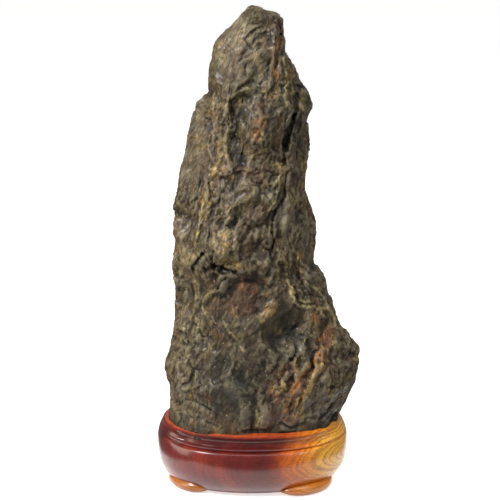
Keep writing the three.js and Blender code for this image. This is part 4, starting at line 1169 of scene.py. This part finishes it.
def woodMaterial(name, c):
    material, tree = emptyMaterial(name)
    sums = "ShaderNodeMath"
    vectors = "ShaderNodeVectorMath"
    place = addNode(tree, "ShaderNodeTexCoord").outputs["Object"]
    # Pores run along the plank, 13 mm long and 1 mm apart, which is coarser than real ones
    drawn = addNode(tree, "ShaderNodeMapping", {"Vector": place, "Scale": (75, 900, 900)}).outputs[0]
    waver, pores, cloud = (
        addNode(tree, "ShaderNodeTexNoise", {
            "Vector": vector, "Scale": scale, "Detail": detail, "Roughness": rough}).outputs["Fac"]
        for vector, scale, detail, rough in (
            (place, 26, 4, 0.55), (drawn, 1.0, 3, 0.6), (place, 45, 3, 0.55)))
    # Millimetres from the heart of the rings, which are wider across than up
    centre = tuple(toFrame(c["ringCentre"]))
    away = addNode(tree, vectors, {0: place, 1: centre}, operation="SUBTRACT").outputs[0]
    away = addNode(tree, vectors, {0: away, 1: (1000, 700, 1450)}, operation="MULTIPLY").outputs[0]
    radius = addNode(tree, vectors, {0: away}, operation="LENGTH").outputs["Value"]
    radius = addNode(tree, sums, {0: waver, 1: c["colourWaver"], 2: radius},
                     operation="MULTIPLY_ADD").outputs[0]
    radius = addNode(tree, sums, {0: radius, 1: c["colourWaver"] / 2}, operation="SUBTRACT").outputs[0]
    # Year rings of uneven width, flatter still: a soft dark edge to each
    flat = addNode(tree, vectors, {0: away, 1: (1, 1, 1.7)}, operation="MULTIPLY").outputs[0]
    flat = addNode(tree, vectors, {0: flat}, operation="LENGTH").outputs["Value"]
    flat = addNode(tree, sums, {0: waver, 1: c["ringWaver"], 2: flat}, operation="MULTIPLY_ADD").outputs[0]
    pace = addNode(tree, "ShaderNodeTexNoise", {
        "W": flat, "Scale": 0.11, "Detail": 1}, noise_dimensions="1D").outputs["Fac"]
    turn = addNode(tree, sums, {0: pace, 1: 2.6}, operation="MULTIPLY").outputs[0]
    turn = addNode(tree, sums, {0: flat, 1: 1 / c["ringSpacing"], 2: turn},
                   operation="MULTIPLY_ADD").outputs[0]
    ring = addNode(tree, sums, {0: turn}, operation="FRACT").outputs[0]
    late = addNode(tree, "ShaderNodeMapRange", {"Value": ring, "From Min": 0.3, "From Max": 0.9},
                   interpolation_type="SMOOTHSTEP").outputs[0]
    early = addNode(tree, "ShaderNodeMapRange", {
        "Value": ring, "From Min": 0.84, "From Max": 1.0, "To Min": 1.0, "To Max": 0.0}).outputs[0]
    line = addNode(tree, sums, {0: late, 1: early}, operation="MULTIPLY").outputs[0]
    inHeart = addNode(tree, "ShaderNodeMapRange", {
        "Value": radius, "From Min": 50, "From Max": 64}).outputs[0]
    glowing = addNode(tree, "ShaderNodeTexNoise", {
        "Vector": place, "Scale": 38, "Detail": 2}).outputs["Color"]
    glowing = addNode(tree, "ShaderNodeSeparateColor", {"Color": glowing}).outputs[1]
    # The rim's top is lighter, from higher up at the left end, partly as end grain and partly as painted
    # light from above, and painted shade darkens the cove under it
    along, _, up = addNode(tree, "ShaderNodeSeparateXYZ", {0: place}).outputs
    atEnd = addNode(tree, "ShaderNodeMapRange", {
        "Value": along, "From Min": c["leftEnd"][0], "From Max": c["leftEnd"][1],
        "To Max": -c["rimRiseAtLeft"]}).outputs[0]
    lifted = addNode(tree, sums, {0: up, 1: atEnd}, operation="ADD").outputs[0]
    above = addNode(tree, sums, {0: up, 1: c["coveHeights"][0]}, operation="GREATER_THAN").outputs[0]
    below = addNode(tree, sums, {0: up, 1: c["coveHeights"][1]}, operation="LESS_THAN").outputs[0]
    # From the sapwood at the right end to the dark heartwood
    colour = layColours(tree, linearColour(c["sapLight"]), c, (
        ("sap", radius, 28, 38, 1.0), ("amber", radius, 36, 50, 1.0), ("glow", radius, 48, 62, 1.0),
        ("heart", radius, 58, 76, 1.0)), "SMOOTHSTEP")
    # The late wood of each ring is redder in the sapwood, and embers glow through the dark heartwood
    colour = layColours(tree, colour, c, (
        ("lateWood", line, 0, 1, 0.6), ("heart", radius, 56, 72, 1.0),
        ("heartDark", cloud, 0.36, 0.62, 0.75, inHeart), ("ember", glowing, 0.5, 0.68, 0.45, inHeart),
        # Painted light on the rim's top, painted shade in the cove
        ("rim", lifted, *c["rimHeights"], 0.85, inHeart), ("coveShade", radius, 42, 60, 0.72, above, below)))
    colour = shadeColour(tree, colour, ((line, 0, 1, 1.08, 0.84), (pores, 0.3, 0.7, 0.7, 1.25)))
    bump = addNode(tree, "ShaderNodeBump", {"Height": pores, "Strength": 0.15, "Distance": 0.0002})
    surface = addNode(tree, "ShaderNodeBsdfPrincipled", {
        "Base Color": colour, "Roughness": c["roughness"], "Normal": bump.outputs[0], "IOR": 1.5,
        "Specular IOR Level": 0.25, "Coat Weight": 0.9, "Coat Roughness": 0.21, "Coat IOR": 1.5})
    addNode(tree, "ShaderNodeOutputMaterial", {"Surface": surface.outputs[0]})
    return material


# The seat takes the foot of the stone with a little room all round
def seatCutter(grid, s):
    low = np.nonzero(grid[:, 0, 2] < s["seatTop"])[0][0]
    part = grid[low::s["seatStep"], ::s["seatStep"]]
    part = part + gridNormals(part) * s["seatGap"]
    part[:, :, 2] += np.linspace(0, -s["seatGap"], len(part))[:, None]
    verts, faces = closedStone(part, part[0].mean(axis=0) + np.array([0, 0, s["seatCap"]]))
    return meshObject("seat_cutter", verts, faces)


def carvedStand(s):
    tree = sweepTree()
    wood = woodMaterial("lacquered_heartwood", woodFinish)
    footWood = woodMaterial("lacquered_sapwood", footFinish)
    common = {
        "Half Width": s["rimHalfWidth"], "Depth Front": s["rimHalfDepthFront"],
        "Depth Back": s["rimHalfDepthBack"], "Centre X": s["rimCentreX"],
        "Fullness Front": s["fullnessFront"], "Fullness Back": s["fullnessBack"],
        "Bulge Right": s["bulgeToTheRight"], "Uneven": s["carvedUneven"],
    }
    body = sweptMesh("stand_body", tree, smoothSection(standSection, s["arcSteps"]), wood, {
        **common, "From": 0.0, "To": 360.0, "Columns": s["columns"] + 1, "Foot Taper": 0.0,
        "Side Offset": 0.0, "End Offset": 0.0})
    closeHoles(body)
    stand = linkedObject("carved_stand", body)
    tools = []
    for k, foot in enumerate(feet):
        pad = sweptMesh("foot_%d" % k, tree, smoothSection(footSection, s["footArcSteps"]), footWood, {
            **common, "From": float(foot["from"]), "To": float(foot["to"]), "Columns": s["footColumns"],
            "Foot Taper": 1.0, "Side Offset": float(foot["side"]), "End Offset": float(foot["end"])})
        closeHoles(pad)
        tools.append((linkedObject("foot_%d" % k, pad), "UNION"))
    tools.append((seatCutter(fineGrid, s), "DIFFERENCE"))
    for tool, operation in tools:
        modifier = stand.modifiers.new(operation, "BOOLEAN")
        modifier.object = tool
        modifier.operation = operation
        modifier.solver = "EXACT"
        modifier.material_mode = "TRANSFER"
    evaluated = stand.evaluated_get(bpy.context.evaluated_depsgraph_get())
    result = bpy.data.meshes.new_from_object(evaluated)
    stand.modifiers.clear()
    stand.data = result
    for tool, _ in tools:
        bpy.data.objects.remove(tool)
    points = np.empty(len(result.vertices) * 3)
    result.vertices.foreach_get("co", points)
    result.vertices.foreach_set("co", toFrame(points.reshape(-1, 3)).ravel())
    result.update()
    result.shade_smooth()
    result.set_sharp_from_angle(angle=s["sharpAngle"])
    return stand


def closeHoles(mesh):
    work = bmesh.new()
    work.from_mesh(mesh)
    edges = [edge for edge in work.edges if edge.is_boundary]
    if edges:
        bmesh.ops.holes_fill(work, edges=edges)
    bmesh.ops.recalc_face_normals(work, faces=work.faces)
    work.to_mesh(mesh)
    work.free()


stand = carvedStand(standSettings)
print("stand carved,", len(stand.data.polygons), "faces")

for piece, node, finish in ((stone, "stone", "stone"), (stand, "stand", "stand_wood")):
    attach(piece, "root")
    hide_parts(node)

# Room: a pale floor and soft light
roomSettings = {
    "floor": "#f6f5f3",
    "floorGlow": 0.62,
    "cardMargin": 0.04,
    "cardLift": 0.00002,
    "floorMargin": 20.0,
    "worldDiffuse": 0.42,
    "worldGlossy": 0.16,
    # Soft lights: place, aim, size, watts and colour
    "lights": {
        "key": ((-1.0, -0.75, 1.1), (0, 0, 0.2), (0.35, 0.35), 20, "#ffffff"),
        "left": ((-1.2, -0.35, 0.35), (0, 0, 0.12), (0.5, 0.9), 6, "#ffefdc"),
        "fill": ((1.1, -1.0, 0.7), (0, 0, 0.15), (0.4, 0.6), 3, "#ffffff"),
        "strip": ((0.1, -0.7, 1.2), (0, 0, 0.05), (1.4, 0.12), 5, "#ffffff"),
        "back": ((0.3, 1.2, 1.0), (0, 0, 0.2), (0.8, 0.8), 5, "#ffffff"),
    },
}


# A wide floor that lights and mirrors nothing, with a card of the same paper that the lacquer mirrors
def paleFloor(c):
    material, tree = emptyMaterial("matt_paper")
    surface = addNode(tree, "ShaderNodeBsdfPrincipled", {
        "Base Color": linearColour(c["floor"]), "Roughness": 0.9, "Emission Color": (1, 1, 1, 1),
        "Emission Strength": c["floorGlow"]})
    addNode(tree, "ShaderNodeOutputMaterial", {"Surface": surface.outputs[0]})
    for name, margin, height in (("floor", c["floorMargin"], 0.0), ("card", c["cardMargin"], c["cardLift"])):
        x0, y0 = (low - margin for low in cadBox[0][:2])
        x1, y1 = (high + margin for high in cadBox[1][:2])
        corners = [(x0, y0, height), (x1, y0, height), (x1, y1, height), (x0, y1, height)]
        sheet = meshObject(name, corners, [[0, 1, 2, 3]])
        sheet.data.materials.append(material)
        sheet.visible_diffuse = False
        sheet.visible_glossy = name == "card"


def softLight(name, place, aim, size, energy, colour):
    data = bpy.data.lights.new(name, "AREA")
    data.shape = "RECTANGLE"
    data.size, data.size_y = size
    data.energy = energy
    data.color = linearColour(colour)[:3]
    light = linkedObject(name, data)
    light.location = place
    light.rotation_euler = (Vector(aim) - Vector(place)).to_track_quat("-Z", "Y").to_euler()


paleFloor(roomSettings)
for name, light in roomSettings["lights"].items():
    softLight(name, *light)

world = bpy.data.worlds.new("white_room")
world.use_nodes = True
worldTree = world.node_tree
worldTree.nodes.clear()
rays = addNode(worldTree, "ShaderNodeLightPath").outputs
strength = addNode(worldTree, "ShaderNodeMix", {
    0: rays["Is Glossy Ray"], 2: roomSettings["worldDiffuse"], 3: roomSettings["worldGlossy"]}).outputs[0]
strength = addNode(worldTree, "ShaderNodeMix", {0: rays["Is Camera Ray"], 2: strength, 3: 1.0}).outputs[0]
background = addNode(worldTree, "ShaderNodeBackground", {"Color": (1, 1, 1, 1), "Strength": strength})
addNode(worldTree, "ShaderNodeOutputWorld", {"Surface": background.outputs[0]})
bpy.context.scene.world = world
bpy.context.scene.view_settings.view_transform = "Standard"
print("room lit")
